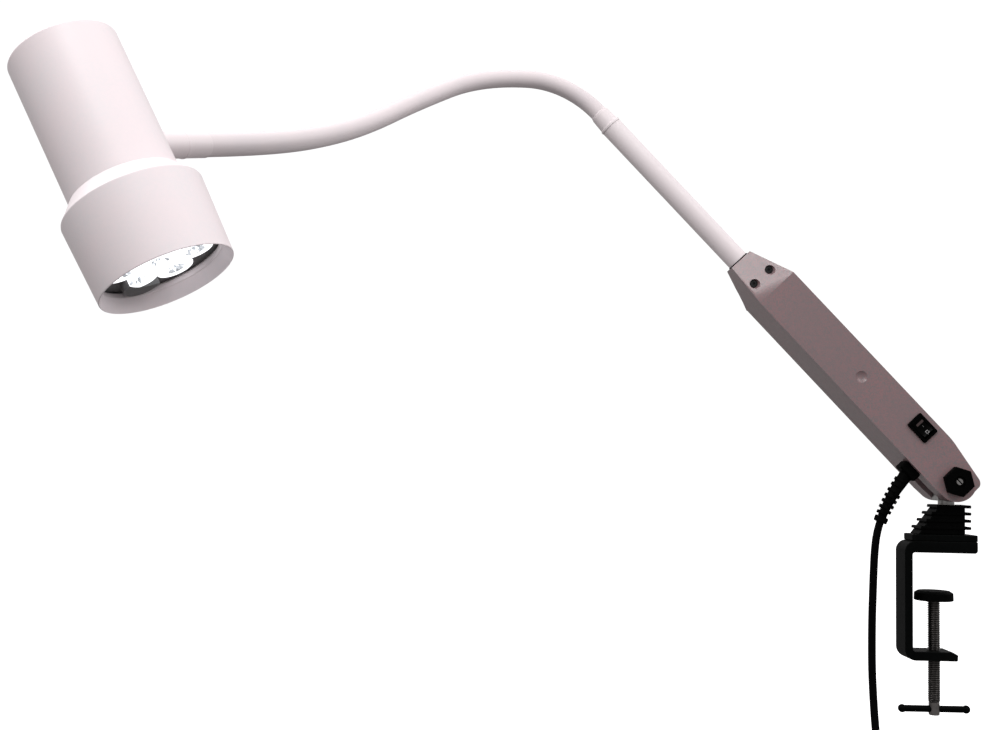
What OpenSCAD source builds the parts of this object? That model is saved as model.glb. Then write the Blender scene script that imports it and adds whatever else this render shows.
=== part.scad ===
// Examination lamp on a table clamp: LED head, gooseneck, rigid tube, tilting housing.
// Millimetres. The origin is on the underside of the clamp's upper jaw, below the swivel axis.
// +Z is up, the jaw opens towards +X, and the arm rises towards -X.

/* [Arm] */
// Elevation of the housing and tube above the horizontal, degrees
arm_tilt = 46; // [40:1:52]
// Height of the tilt bolt above the jaw face
pivot_z = 59; // [58:0.5:62]
// Height of the housing's upper side above the arm's axis
housing_up = 21.2; // [20:0.2:23]
// Depth of the housing's lower side below the arm's axis
housing_down = 17; // [16.8:0.2:19]
// Distance of the near face from the arm's axis, along the tilt bolt
housing_near = 25; // [24.5:0.5:27]
// Distance of the far face from the arm's axis, along the tilt bolt
housing_far = 29; // [28:0.5:31]
// Length of the straight part of the housing, from the tilt bolt
housing_l = 216; // [210:1:240]
// Distance from the tilt bolt to the tip of the housing's nose
nose_x = 253; // [250:1:260]
// Thickness of the housing's walls
wall = 2.6; // [2:0.2:3]
// Outer diameter of the rigid tube
tube_d = 18.4; // [17.4:0.2:18.6]
// Distance from the tilt bolt to the end of the rigid tube
tube_end = 411; // [380:1:440]

/* [Gooseneck] */
// Distance from the tilt bolt to the start of the gooseneck
neck_start = 427; // [400:1:450]
// Outer diameter of the white sleeve
sleeve_d = 14.6; // [14:0.2:15]
// Wall of the white sleeve
sleeve_wall = 1.3; // [1:0.1:1.5]
// Outer diameter of the wound metal hose inside the sleeve
hose_d = 11; // [10:0.2:11.2]
// Length of the collar between the gooseneck and the barrel
collar_l = 39; // [34:1:44]

/* [Head] */
// Outer diameter of the barrel
barrel_d = 62; // [60:1:64]
// Distance from the neck's axis back to the closed end of the barrel
barrel_back = 60; // [50:1:70]
// Distance from the neck's axis forward to the end of the barrel
barrel_front = 27; // [26:1:30]
// Outer diameter of the shade
shade_d = 76; // [75:1:80]
// Distance from the neck's axis forward to the rim of the shade
shade_front = 84; // [80:1:90]
// Radius of the dark lip inside the rim
lip_r = 34.3; // [33.5:0.1:35]
// Radius of each of the seven lenses
lens_r = 10.6; // [9:0.1:11]
// Distance from the middle lens to each of the other six
lens_ring = 20.4; // [18:0.1:21]

/* [Clamp] */
// Width of the cast frame and its bars
frame_w = 25; // [20:1:28]
// Clear height between the two arms of the frame
throat_h = 80.5; // [70:0.5:90]
// Thickness of the upper arm of the frame
upper_t = 9.5; // [8:0.5:11]
// Thickness of the lower arm of the frame
lower_t = 7.5; // [7:0.5:11]
// Distance of the inner face of the frame's spine from the swivel axis
spine_x = 32; // [30:1:36]
// Thickness of the spine
spine_t = 6.5; // [6:0.5:8]
// Distance of the free end of the upper arm from the swivel axis
upper_x = 22; // [20:1:26]
// Distance of the clamp screw from the swivel axis, towards the spine
screw_x = 10.8; // [9:0.2:13]
// Height of the opening between the jaw face and the pressure pad
opening = 31.8; // [20:0.2:40]

/* [Mains lead] */
// Diameter of the mains lead
cord_d = 6.3; // [5.5:0.1:6.5]
// Mean radius of the stored coil
coil_r = 33; // [33:1:36]

/* [Hidden] */
$fn = 64;
gap = 0.1;            // clearance between neighbouring pieces of one body
run = 0.05;           // running clearance of a shaft in its bore
tube_r = tube_d / 2;
tube_bore = tube_r - 1.5;
cover_t = 9;          // depth of the rear cover
cover_y = -housing_far + cover_t;
nose_half = 10.5;     // half the side of the nose's square tip
end_r = 16.6;         // radius of the housing's lower end about the tilt bolt
slot_half = 8.2;      // half the width of the slot that takes the knuckle
slot_x = 26;          // inner end of that slot
slot_top = 13.6;      // upper side of that slot
lug_half = 7;         // half the thickness of the knuckle
lug_r = 12;
bolt_r = 3;
washer_t = 1;
switch_x = 51;        // place of the rocker switch on the near face
switch_z = 9.6;
rocker_depth = 4;     // depth of the rocker's pin below the near face
rocker_half = 7;      // tilt of the rocker each side of level
bezel_l = 21;
bezel_h = 15;
nose_screw_x = 231;
nose_screws_z = [-7.8, 9.6];
dimple_z = 2.3;
cover_screw_x = 211;
cover_screws_z = [-12.5, 14.5];
cavity_end = 206;     // upper end of the cavity in the housing
saddle_x = 237;       // upper end of the saddle's pocket
dimple_x = 115;
relief_x = 31.3;       // where the mains lead enters the underside
relief_y = 14;
plate_z = upper_t;
plate_t = 5.5;
socket_z = plate_z + plate_t;
socket_top = 39.6;
socket_edge = -8.3;   // left edge of the ribbed socket at its top
socket_rake = 0.75;   // how far that edge runs out per millimetre down
fin_reach = 2;        // how far the fins stand out
screw_places = [[-17, -6], [-17, 6], [8.5, -8], [8.5, 8]];
stem_r = 6.6;
pad_r = 15.8;
pad_t = 8;
spindle_r = 5;
spindle_end = 133.4;  // depth of the spindle's lower end below the jaw face
bar_z = -128.5;
bar_r = 3;
bar_half = 28.5;
bore_gap = 0.1;
sleeve_r = sleeve_d / 2;
hose_r = hose_d / 2;
hose_gap = 1.6;       // bare length each side of a bend joint
band_half = 2.5;      // half the length of the plain band between two arcs
barrel_r = barrel_d / 2;
barrel_wall = 2;
barrel_edge = 1.2;    // rounding of the barrel's closed end
shade_r = shade_d / 2;
shade_taper = 1.8;    // how much wider the shade is at its shoulder than at its rim
shade_wall = 2;
shoulder = 10;        // length of the conical shoulder behind the shade
head_roll = 18;       // turn of the head about the collar's axis
lens_z = 73;          // front of the lens cluster
board_z = 50;
board_t = 1.6;
sink_back = -38;      // rear end of the heat sink
wire_x = 28.5;        // where the wires pass the board
pin_pitch = 19;
coil_columns = 4;
coil_layers = 3;
coil_x = -66;
coil_y = -7;
coil_z = -220;
coil_half_r = coil_layers * cord_d / 2;
coil_half_x = coil_columns * cord_d / 2;
plug_x = coil_x + 1.5 * cord_d;
plug_y = coil_y - coil_r - cord_d;
plug_z = coil_z - 26;

// Gooseneck: each arc has a length, a downward bend and a sideways bend, in degrees.
arc_l = [70, 80, 80, 80, 85, 85];
arc_down = [48, 22, 1, -5, -4, -7];
arc_side = [21, 27, 17, 7, 2, -17];

// Free route of the mains lead, from the strain relief down to the coil.
cord_route = [
    [-59.6, -14, 25], [-61.8, -14, 17], [-63.4, -14, 8], [-64.6, -14, -6], [-65.6, -14, -30],
    [-66.6, -14.5, -60], [-67, -16, -95], [-66.6, -19.5, -125], [-66.4, -24, -145],
    [-67.2, -31, -165], [-69.2, -38.5, -184], [-72.4, -44, -202], [-75, -46, -220]];

// Route of the strain relief, from inside the housing's underside to the lead's exit.
relief_route = [
    [-33.9, -14, 70.3], [-37.4, -14, 65], [-41.8, -14, 58.4], [-46.4, -14, 51.6],
    [-51, -14, 44], [-55.6, -14, 35], [-59.4, -14, 25.7]];

// ---- Helpers -------------------------------------------------------------------------

// Points of an arc, for outlines.
function arc(x, y, r, from, to, n = 8) =
    [for (i = [0:n]) let (a = from + (to - from) * i / n) [x + r * cos(a), y + r * sin(a)]];

// A smooth curve through a list of points, with the given steps between neighbours.
function spline_point(p, i, t) =
    let (n = len(p) - 1, a = p[max(i - 1, 0)], b = p[i], c = p[i + 1], d = p[min(i + 2, n)])
    0.5 * (2 * b + (c - a) * t + (2 * a - 5 * b + 4 * c - d) * t * t
        + (3 * b - a - 3 * c + d) * t * t * t);
function spline(p, steps) = concat(
    [for (i = [0:len(p) - 2], k = [0:steps - 1]) spline_point(p, i, k / steps)], [p[len(p) - 1]]);

// Sweep of a round section along a path that stays clear of the Y direction.
function unit(v) = v / norm(v);
function tangent(p, i) = unit(p[min(i + 1, len(p) - 1)] - p[max(i - 1, 0)]);
function ring(p, i, r, sides) =
    let (t = tangent(p, i), a = unit(cross(t, [0, 1, 0])), b = cross(t, a))
    [for (k = [0:sides - 1]) p[i] + r * (cos(360 * k / sides) * a + sin(360 * k / sides) * b)];
module sweep(p, radii, sides) {
    n = len(p);
    polyhedron(
        [for (i = [0:n - 1]) each ring(p, i, radii[i], sides)],
        concat(
            [[for (k = [0:sides - 1]) k]],
            [for (i = [0:n - 2], k = [0:sides - 1])
                let (m = (k + 1) % sides)
                [i * sides + k, (i + 1) * sides + k, (i + 1) * sides + m, i * sides + m]],
            [[for (k = [sides - 1:-1:0]) (n - 1) * sides + k]]));
}

// Moves from the row frame to the arm: X along the arm, Y towards the near face, Z its upper side.
module on_arm() {
    translate([0, 0, pivot_z]) rotate([0, arm_tilt, 0]) rotate([0, 0, 180]) children();
}

// A cylinder along Y, from y0 to y1.
module rod_y(x, z, r, y0, y1) {
    translate([x, y1, z]) rotate([90, 0, 0]) cylinder(r = r, h = y1 - y0);
}

// A cylinder along X, from x0 to x1.
module rod_x(r, x0, x1, r2 = 0) {
    translate([x0, 0, 0]) rotate([0, 90, 0])
        cylinder(r1 = r, r2 = r2 == 0 ? r : r2, h = x1 - x0);
}

// An outline in the XZ plane, drawn out along Y from y0 to y1.
module slab_y(y0, y1) {
    translate([0, y1, 0]) rotate([90, 0, 0]) linear_extrude(y1 - y0) children();
}

// Bend, bend direction and radius of each arc of the gooseneck.
function bend(i) = norm([arc_down[i], arc_side[i]]);
function bend_way(i) = atan2(arc_side[i], arc_down[i]);
function bend_r(i) = arc_l[i] / (bend(i) * PI / 180);

// Moves to the start of arc i: Z along the neck, X downwards in the arm's plane.
module at_arc(i) {
    if (i == 0) on_arm() translate([neck_start, 0, 0]) rotate([0, 90, 0]) children();
    else at_arc(i - 1) rotate([0, 0, bend_way(i - 1)])
        translate([bend_r(i - 1) * (1 - cos(bend(i - 1))), 0, bend_r(i - 1) * sin(bend(i - 1))])
            rotate([0, bend(i - 1), 0]) rotate([0, 0, -bend_way(i - 1)]) children();
}

// Part of arc i, between two fractions of its bend, with the section drawn by the children.
module arc_piece(i, from, to) {
    at_arc(i) rotate([0, 0, bend_way(i)]) translate([bend_r(i), 0, 0]) rotate([0, 0, 180])
        rotate([90, 0, 0]) rotate([0, 0, bend(i) * from])
            rotate_extrude(angle = bend(i) * (to - from), $fn = 192) translate([bend_r(i), 0])
                children();
}

// Moves to the head: Z towards the lenses, X towards the gooseneck, origin where they cross.
module on_head() {
    at_arc(len(arc_l)) translate([0, 0, collar_l + barrel_r]) rotate([0, 0, head_roll])
        rotate([0, 90, 0]) children();
}

// ---- Clamp ---------------------------------------------------------------------------

module frame_outline() {
    x0 = -spine_x - spine_t;
    low = -throat_h - lower_t;
    nose_r = 2.5;
    corner = 9;
    polygon(concat(
        arc(upper_x - nose_r, nose_r, nose_r, -90, 0),
        [[upper_x, upper_t]],
        arc(x0 + corner, upper_t - corner, corner, 90, 180),
        arc(x0 + corner, low + corner, corner, 180, 270),
        [[4.8, low], [5.3, low + 5], [0.5, -throat_h]],
        arc(-spine_x + 2, -throat_h + 2, 2, 270, 180, 4),
        arc(-spine_x + 2, -2, 2, 180, 90, 4)));
}
module clamp_frame() color([0.05, 0.05, 0.05]) difference() {
    slab_y(-frame_w / 2, frame_w / 2) frame_outline();
    translate([-screw_x, 0, -throat_h - lower_t - 1]) cylinder(r = spindle_r + run, h = lower_t + 2);
    for (p = screw_places) translate([p[0], p[1], -1]) {
        cylinder(r = 1.6, h = upper_t + 2);
        cylinder(r = 3, h = 4.6);
    }
}
module top_plate() color([0.06, 0.06, 0.06]) difference() {
    translate([0, 0, plate_z]) linear_extrude(plate_t) polygon(concat(
        arc(upper_x - 2.5, 9.5, 3, 0, 90), arc(-spine_x + 3, 9.5, 3, 90, 180),
        arc(-spine_x + 3, -9.5, 3, 180, 270), arc(upper_x - 2.5, -9.5, 3, 270, 360)));
    for (p = screw_places) translate([p[0], p[1], plate_z - 1]) cylinder(r = 1.6, h = plate_t + 2);
}

// Left edge of the ribbed socket at height z.
function socket_left(z) = socket_edge - (socket_top - z) * socket_rake;
module swivel_socket() color([0.04, 0.04, 0.04]) difference() {
    union() {
        slab_y(-11, 11) polygon([
            [12, socket_z], [12, socket_top], [socket_left(socket_top), socket_top],
            [socket_left(socket_z), socket_z]]);
        for (i = [0:3]) let (z = socket_top - 2.5 - 5.9 * i)
            slab_y(-12.3, 12.3) polygon([
                [16.6, z], [16.6, z + 2.5], [socket_left(z) - fin_reach, z + 2.5],
                [socket_left(z) - fin_reach, z]]);
    }
    translate([0, 0, 22]) cylinder(r = 8.2, h = 30);
    translate([0, 0, socket_z - 1]) cylinder(r = 9.5, h = 6);
    translate([0, 0, socket_z]) cylinder(r = 7.4, h = 10);
    for (p = screw_places) translate([p[0], p[1], socket_z - 1]) cylinder(r = 1.6, h = 7);
}
module swivel_bush() color("ivory") difference() {
    translate([0, 0, 22]) cylinder(r = 8.1, h = socket_top - 22);
    translate([0, 0, 21]) cylinder(r = stem_r + run, h = 30);
}
module socket_screws() color("silver") for (p = screw_places) translate([p[0], p[1], 0]) {
    translate([0, 0, 0.6]) cylinder(r = 2.8, h = 2.9);
    translate([0, 0, 3]) cylinder(r = 1.5, h = socket_z + 2);
}
module pressure_pad() color([0.06, 0.06, 0.06]) translate([-screw_x, 0, -opening - pad_t])
difference() {
    union() {
        cylinder(r = pad_r, h = pad_t - 1.5);
        translate([0, 0, pad_t - 1.5]) cylinder(r1 = pad_r, r2 = pad_r - 3, h = 1.5);
    }
    translate([0, 0, -1]) cylinder(r = spindle_r + bore_gap, h = 6);
}
module clamp_spindle() color("silver") translate([-screw_x, 0, 0]) difference() {
    union() {
        translate([0, 0, bar_z + 5]) cylinder(r = spindle_r, h = -opening - pad_t + 4.6 - bar_z - 5);
        translate([0, 0, -spindle_end]) cylinder(r = 4.4, h = spindle_end + bar_z + 5);
    }
    translate([-10, 0, bar_z]) rod_x(bar_r + bore_gap, 0, 20);
}
module tommy_bar() color([0.05, 0.05, 0.05]) translate([-screw_x, 0, bar_z]) {
    rod_x(bar_r, -bar_half + 2, bar_half - 2);
    for (x = [-bar_half + 2, bar_half - 2]) translate([x, 0, 0]) sphere(r = 3.4);
}

// ---- Swivel --------------------------------------------------------------------------

module knuckle_stud() color("silver") difference() {
    union() {
        translate([0, 0, 17.5]) cylinder(r = stem_r, h = 28);
        slab_y(-lug_half, lug_half) union() {
            translate([0, pivot_z]) circle(r = lug_r);
            translate([-9, 43]) square([18, pivot_z - 43]);
        }
    }
    rod_y(0, pivot_z, bolt_r + run, -20, 20);
    translate([0, 0, 18.4]) difference() {
        cylinder(r = 8, h = 1.2);
        cylinder(r = 5.6, h = 1.2);
    }
}
module stud_clip() color("dimgray") translate([0, 0, 18.5]) difference() {
    cylinder(r = 8.8, h = 1);
    translate([0, 0, -1]) cylinder(r = 5.7, h = 3);
}

// ---- Housing -------------------------------------------------------------------------

// The lower end is rounded about the tilt bolt, and the upper side slopes down to it.
module side_outline() {
    shoulder_r = 60;
    slope = 11;
    corner_r = 6.4;
    polygon(concat(
        arc(32, housing_up - shoulder_r, shoulder_r, 90, 90 + slope),
        arc(-9.6, 8.6, corner_r, 90 + slope, 160, 6),
        arc(0, 0, end_r, 162, 258, 24),
        [[8, -housing_down], [housing_l, -housing_down], [nose_x, -nose_half],
            [nose_x, nose_half], [housing_l, housing_up]]));
}
module depth_outline() {
    polygon([
        [-end_r - 1, -housing_far], [housing_l, -housing_far], [nose_x, -nose_half],
        [nose_x, nose_half], [housing_l, housing_near], [-end_r - 1, housing_near]]);
}
// Outer form of the housing between two depths.
module housing_form(y0, y1) {
    intersection() {
        slab_y(y0, y1) side_outline();
        translate([0, 0, -housing_down - 1]) linear_extrude(housing_up + housing_down + 2)
            depth_outline();
    }
}
module block(x0, x1, y0, y1, z0, z1) {
    translate([x0, y0, z0]) cube([x1 - x0, y1 - y0, z1 - z0]);
}
module front_housing() color([0.48, 0.44, 0.45]) on_arm() difference() {
    housing_form(cover_y + gap / 2, housing_near);
    // cavity for the driver and the switch
    block(slot_x + 6, cavity_end, cover_y - 1, housing_near - wall,
        -housing_down + wall, housing_up - wall);
    // slot for the knuckle
    block(-end_r - 5, slot_x, -slot_half, slot_half, -housing_down - 1, slot_top);
    rod_y(0, 0, bolt_r + run, -housing_far - 1, housing_near + 1);
    // seat of the rocker switch
    block(switch_x - 9.6, switch_x + 9.6, housing_near - 8, housing_near + 1,
        switch_z - 6.6, switch_z + 6.6);
    // hole for the strain relief
    translate([relief_x + 1, relief_y, -housing_down - 1]) cylinder(r = 3.2, h = wall + 2);
    // bore and gasket seat for the rigid tube
    rod_x(tube_r + gap, 190, nose_x + 1);
    rod_x(tube_r + 0.7, nose_x - 4, nose_x + 1);
    // pocket for the saddle and recesses for its two screws
    block(cavity_end - 1, saddle_x + 0.2, 6, 12.4, -11.2, 12.2);
    for (z = nose_screws_z) {
        rod_y(nose_screw_x, z, 2.1, 4, 30);
        rod_y(nose_screw_x, z, 3.5, 14, 30);
    }
    for (z = cover_screws_z) rod_y(cover_screw_x, z, 1.6, cover_y - 1, 0);
    // shallow dimple on the near face
    translate([dimple_x, housing_near + 6, dimple_z]) sphere(r = 7.8);
}
module rear_cover() color([0.46, 0.42, 0.43]) on_arm() difference() {
    housing_form(-housing_far, cover_y - gap / 2);
    block(slot_x + 6, cavity_end - 8, -housing_far + wall, cover_y + 1,
        -housing_down + wall, housing_up - wall);
    rod_y(0, 0, bolt_r + run, -housing_far - 1, housing_near + 1);
    // hexagonal seat for the head of the tilt bolt
    translate([0, -housing_far + 4.6, 0]) rotate([90, 0, 0]) cylinder(r = 5.95, h = 10, $fn = 6);
    for (z = cover_screws_z) {
        rod_y(cover_screw_x, z, 1.8, -housing_far - 1, 0);
        rod_y(cover_screw_x, z, 3.4, -housing_far - 1, -housing_far + 3);
    }
}
module nose_screws() color("dimgray") on_arm() for (z = nose_screws_z) difference() {
    union() {
        rod_y(nose_screw_x, z, 2, 8.6, 15);
        rod_y(nose_screw_x, z, 3.3, 14.1, 16.4);
    }
    translate([nose_screw_x, 18, z]) rotate([90, 0, 0]) cylinder(r = 1.5, h = 3.4, $fn = 6);
}
module cover_screws() color("dimgray") on_arm() for (z = cover_screws_z) difference() {
    union() {
        rod_y(cover_screw_x, z, 1.5, -housing_far + 1, -3);
        rod_y(cover_screw_x, z, 3.2, -housing_far + 0.5, -housing_far + 2.8);
    }
    block(cover_screw_x - 4, cover_screw_x + 4, -housing_far, -housing_far + 1.2,
        z - 0.4, z + 0.4);
}
module friction_washers() color("goldenrod") on_arm() for (y = [lug_half + gap, -lug_half - 1.1])
difference() {
    rod_y(0, 0, 11, y, y + washer_t);
    rod_y(0, 0, bolt_r + run, y - 1, y + 3);
}
module pivot_bolt() color("silver") on_arm() difference() {
    union() {
        rod_y(0, 0, bolt_r, -housing_far + 1, housing_near + 6.6);
        translate([0, -housing_far + 4.5, 0]) rotate([90, 0, 0]) cylinder(r = 5.8, h = 4, $fn = 6);
    }
    block(-3.5, 3.5, housing_near + 5.8, housing_near + 7, -0.5, 0.5);
}
module hex_knob() color([0.05, 0.05, 0.05]) on_arm() difference() {
    union() {
        rod_y(0, 0, 10.4, housing_near + 0.3, housing_near + 1.6);
        translate([0, housing_near + 7, 0]) rotate([90, 0, 0]) rotate([0, 0, 30])
            cylinder(r = 12.7, h = 5.6, $fn = 6);
    }
    rod_y(0, 0, bolt_r + run, housing_near - 1, housing_near + 10);
}
// Moves to the rocker's pivot: Z along its pin.
module on_rocker() {
    on_arm() translate([switch_x, housing_near - rocker_depth, switch_z]) children();
}
module switch_bezel() color([0.07, 0.07, 0.07]) on_rocker() difference() {
    union() {
        block(-bezel_l / 2, bezel_l / 2, rocker_depth + 0.05, rocker_depth + 2,
            -bezel_h / 2, bezel_h / 2);
        block(-9.4, 9.4, -9, rocker_depth + 1, -6.4, 6.4);
    }
    block(-8.2, 8.2, -5, rocker_depth + 3, -5.2, 5.2);
    translate([0, 0, -6.2]) cylinder(r = 1.05, h = 12.4);
}
module switch_rocker() color([0.05, 0.05, 0.05]) on_rocker() {
    // the end nearer the nose is pressed in
    rotate([0, 0, -rocker_half]) translate([0, 0, -4.9]) linear_extrude(9.8) polygon(concat(
        [[-7.3, 7], [-7.9, 1], [-5, -3], [5, -3], [7.9, 1], [7.3, 7]],
        arc(0, 24.5, 18.95, -69, -111, 6)));
    translate([0, 0, -6.1]) cylinder(r = 1, h = 12.2);
}
module led_driver() color("dimgray") on_arm() block(96, 186, -14, 14, -13, 17);
module driver_board() color("green") on_arm() {
    block(90, 192, -16, -14.4, -13.8, 17.8);
    for (x = [94, 188]) rod_y(x, 0, 2.5, -housing_far + wall + gap, -16);
}
module terminal_block() color("ivory") on_arm() difference() {
    block(66, 84, -housing_far + wall + gap, -12, -12, 12);
    for (z = [-8, 0, 8]) rod_y(75, z, 1.7, -20, -11);
}
module strain_relief() color([0.05, 0.05, 0.05]) {
    body_r = 4.9;
    tip_r = 3.6;
    rib_out = 1.9;
    smooth = spline(relief_route, 6);
    n = len(smooth) - 1;
    // moulded foot that seats on the underside
    on_arm() translate([relief_x, relief_y, 0])
        block(-8.3, 8.3, -6.4, 7.5, -housing_down - 8, -housing_down - 0.05);
    // tapered boot with nine ribs
    sweep([for (i = [2:n]) smooth[i]],
        [for (i = [2:n]) body_r + (tip_r - body_r) * (i - 2) / (n - 2)
            + ((i >= 12 && i % 3 == 0) ? rib_out : 0)], 14);
}
module tube_saddle() color("dimgray") on_arm() difference() {
    block(saddle_x - 12, saddle_x, 6.2, 12.2, -11, 12);
    rod_x(tube_r + 0.05, saddle_x - 14, saddle_x + 2);
    for (z = nose_screws_z) rod_y(nose_screw_x, z, 2.05, 0, 20);
}
module tube_gasket() color([0.05, 0.05, 0.05]) on_arm() difference() {
    rod_x(tube_r + 0.65, nose_x - 3.9, nose_x + 0.9);
    rod_x(tube_r + 0.05, nose_x - 5, nose_x + 2);
}
module arm_tube() color([0.95, 0.93, 0.94]) on_arm() difference() {
    rod_x(tube_r, 200, tube_end);
    rod_x(tube_bore, 199, tube_end + 1);
}
module lamp_cable() color([0.2, 0.2, 0.2]) on_arm() rod_x(2.6, 186.1, neck_start - 4);
module base_ferrule() color([0.95, 0.93, 0.94]) on_arm() difference() {
    union() {
        rod_x(tube_r + 0.35, tube_end + 0.05, tube_end + 2.2);
        rod_x(tube_r - 0.2, tube_end + 2.2, neck_start - 1.6, sleeve_r + 0.75);
        rod_x(sleeve_r + 0.45, neck_start - 1.6, neck_start);
        rod_x(tube_bore - 0.1, tube_end - 14, tube_end + 1);
    }
    rod_x(hose_r - 1, tube_end - 20, neck_start + 1);
}

// ---- Gooseneck -----------------------------------------------------------------------

// Wound hose of one link: the second half of the arc before and the first half of its own arc.
module neck_core(k) color("gray") {
    if (k > 1) arc_piece(k - 2, 0.5 + hose_gap / arc_l[k - 2], 0.99) circle(r = hose_r, $fn = 32);
    if (k < 7) arc_piece(k - 1, 0.01, 0.5 - hose_gap / arc_l[k - 1]) circle(r = hose_r, $fn = 32);
    // plain band that joins the two arcs
    at_arc(k - 1) translate([0, 0, k == 1 ? 0 : -band_half])
        cylinder(r = hose_r + 0.2, h = k == 1 || k == 7 ? band_half : 2 * band_half);
}
module neck_sleeve(k) color([0.95, 0.93, 0.94]) arc_piece(k - 1, 0.0005, 0.9995) difference() {
    circle(r = sleeve_r, $fn = 48);
    circle(r = sleeve_r - sleeve_wall, $fn = 48);
}
module neck_core_1() neck_core(1);
module neck_core_2() neck_core(2);
module neck_core_3() neck_core(3);
module neck_core_4() neck_core(4);
module neck_core_5() neck_core(5);
module neck_core_6() neck_core(6);
module neck_core_7() neck_core(7);
module neck_sleeve_1() neck_sleeve(1);
module neck_sleeve_2() neck_sleeve(2);
module neck_sleeve_3() neck_sleeve(3);
module neck_sleeve_4() neck_sleeve(4);
module neck_sleeve_5() neck_sleeve(5);
module neck_sleeve_6() neck_sleeve(6);

// ---- Head ----------------------------------------------------------------------------

module end_collar() color([0.95, 0.93, 0.94]) on_head() difference() {
    union() {
        rod_x(sleeve_r + 0.45, barrel_r - 4, barrel_r + collar_l);
        for (x = [3, 21]) rod_x(sleeve_r + 0.85, barrel_r + x, barrel_r + x + 1.4);
        rod_x(4.9, barrel_r - 9, barrel_r);
    }
    difference() {
        translate([0, 0, -30]) cylinder(r = barrel_r + run, h = 60);
        rod_x(4.9, 0, 60);
    }
    rod_x(2.8, 0, barrel_r + collar_l + 1);
}
module collar_nut() color("silver") on_head() difference() {
    translate([barrel_r - 6.3, 0, 0]) rotate([0, 90, 0]) cylinder(r = 8, h = 3, $fn = 6);
    rod_x(4.95, 0, 60);
}
module barrel() color([0.95, 0.93, 0.94]) on_head() difference() {
    rotate_extrude($fn = 128) difference() {
        union() {
            translate([0, -barrel_back + barrel_edge])
                square([barrel_r, barrel_front + barrel_back - barrel_edge]);
            translate([0, -barrel_back]) square([barrel_r - barrel_edge, barrel_edge + 1]);
            translate([barrel_r - barrel_edge, -barrel_back + barrel_edge]) circle(r = barrel_edge);
        }
        translate([-1, -barrel_back + barrel_wall])
            square([barrel_r - barrel_wall + 1, barrel_front + barrel_back]);
        translate([-10, -100]) square([10, 200]);
    }
    rod_x(5, 10, barrel_r + 5);
}
module heat_sink() color("silver") on_head() difference() {
    union() {
        translate([0, 0, board_z - 4]) cylinder(r = shade_r - shade_wall - gap, h = 4);
        translate([0, 0, sink_back]) cylinder(r = 9, h = board_z - 1 - sink_back);
        for (a = [0:24:359]) rotate([0, 0, a])
            block(8, 25.5, -0.9, 0.9, sink_back + 1, board_z - 3);
    }
    // room for the collar's nut
    block(15, 30, -13, 13, -13, 13);
    translate([wire_x, 0, board_z - 5]) cylinder(r = 2.4, h = 6);
    for (a = [30:120:270]) rotate([0, 0, a + 30]) translate([14, 0, board_z - 5])
        cylinder(r = 1.55, h = 6);
}
// Places of the seven lenses: one in the middle and six around it.
lens_places = concat([[0, 0]],
    [for (a = [0:60:300]) lens_ring * [cos(a + 30), sin(a + 30)]]);
module led_board() color("white") on_head() difference() {
    translate([0, 0, board_z + gap]) cylinder(r = 32, h = board_t);
    translate([wire_x, 0, board_z - 1]) cylinder(r = 2.2, h = 5);
    for (a = [30:120:270]) rotate([0, 0, a + 30]) translate([14, 0, board_z - 1])
        cylinder(r = 1.7, h = 5);
}
module led_chips() color("khaki") on_head() for (p = lens_places)
    translate([p[0] - 2, p[1] - 2, board_z + board_t + 2 * gap]) cube([4, 4, 1.5]);
module lens_cluster() color([0.95, 0.97, 1]) on_head() for (p = lens_places)
    translate([p[0], p[1], 0]) {
        translate([0, 0, lens_z - 18.5]) cylinder(r1 = 4, r2 = lens_r - 0.6, h = 12);
        translate([0, 0, lens_z - 7]) cylinder(r = lens_r, h = 7);
    }
module bezel_ring() color([0.15, 0.15, 0.16]) on_head() difference() {
    translate([0, 0, lens_z - 4]) cylinder(r = shade_r - shade_wall - gap, h = 3);
    for (p = lens_places) translate([p[0], p[1], lens_z - 8]) cylinder(r = lens_r + gap, h = 12);
    translate([0, 0, lens_z - 8]) cylinder(r = lens_ring, h = 12);
}
module shade() color([0.95, 0.93, 0.94]) on_head() rotate_extrude($fn = 128) polygon([
    [barrel_r - barrel_wall - gap, barrel_front - 9],
    [barrel_r - barrel_wall - gap, barrel_front + 0.05], [barrel_r, barrel_front + 0.05],
    [shade_r + shade_taper, barrel_front + shoulder], [shade_r, shade_front - 0.4],
    [shade_r - 0.4, shade_front], [lip_r, shade_front - 8], [lip_r, lens_z + 0.2],
    [shade_r - shade_wall, lens_z - 0.9], [shade_r - shade_wall, barrel_front + shoulder + 1],
    [barrel_r - 3.4, barrel_front + 1], [barrel_r - 3.4, barrel_front - 9]]);
module head_screws() color("dimgray") on_head() for (a = [30:120:270]) rotate([0, 0, a + 30])
    translate([14, 0, 0]) {
        translate([0, 0, board_z + board_t + 2 * gap]) cylinder(r = 2.6, h = 1.8);
        translate([0, 0, board_z - 6]) cylinder(r = 1.5, h = board_t + 7);
    }

// ---- Mains lead ----------------------------------------------------------------------

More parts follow.
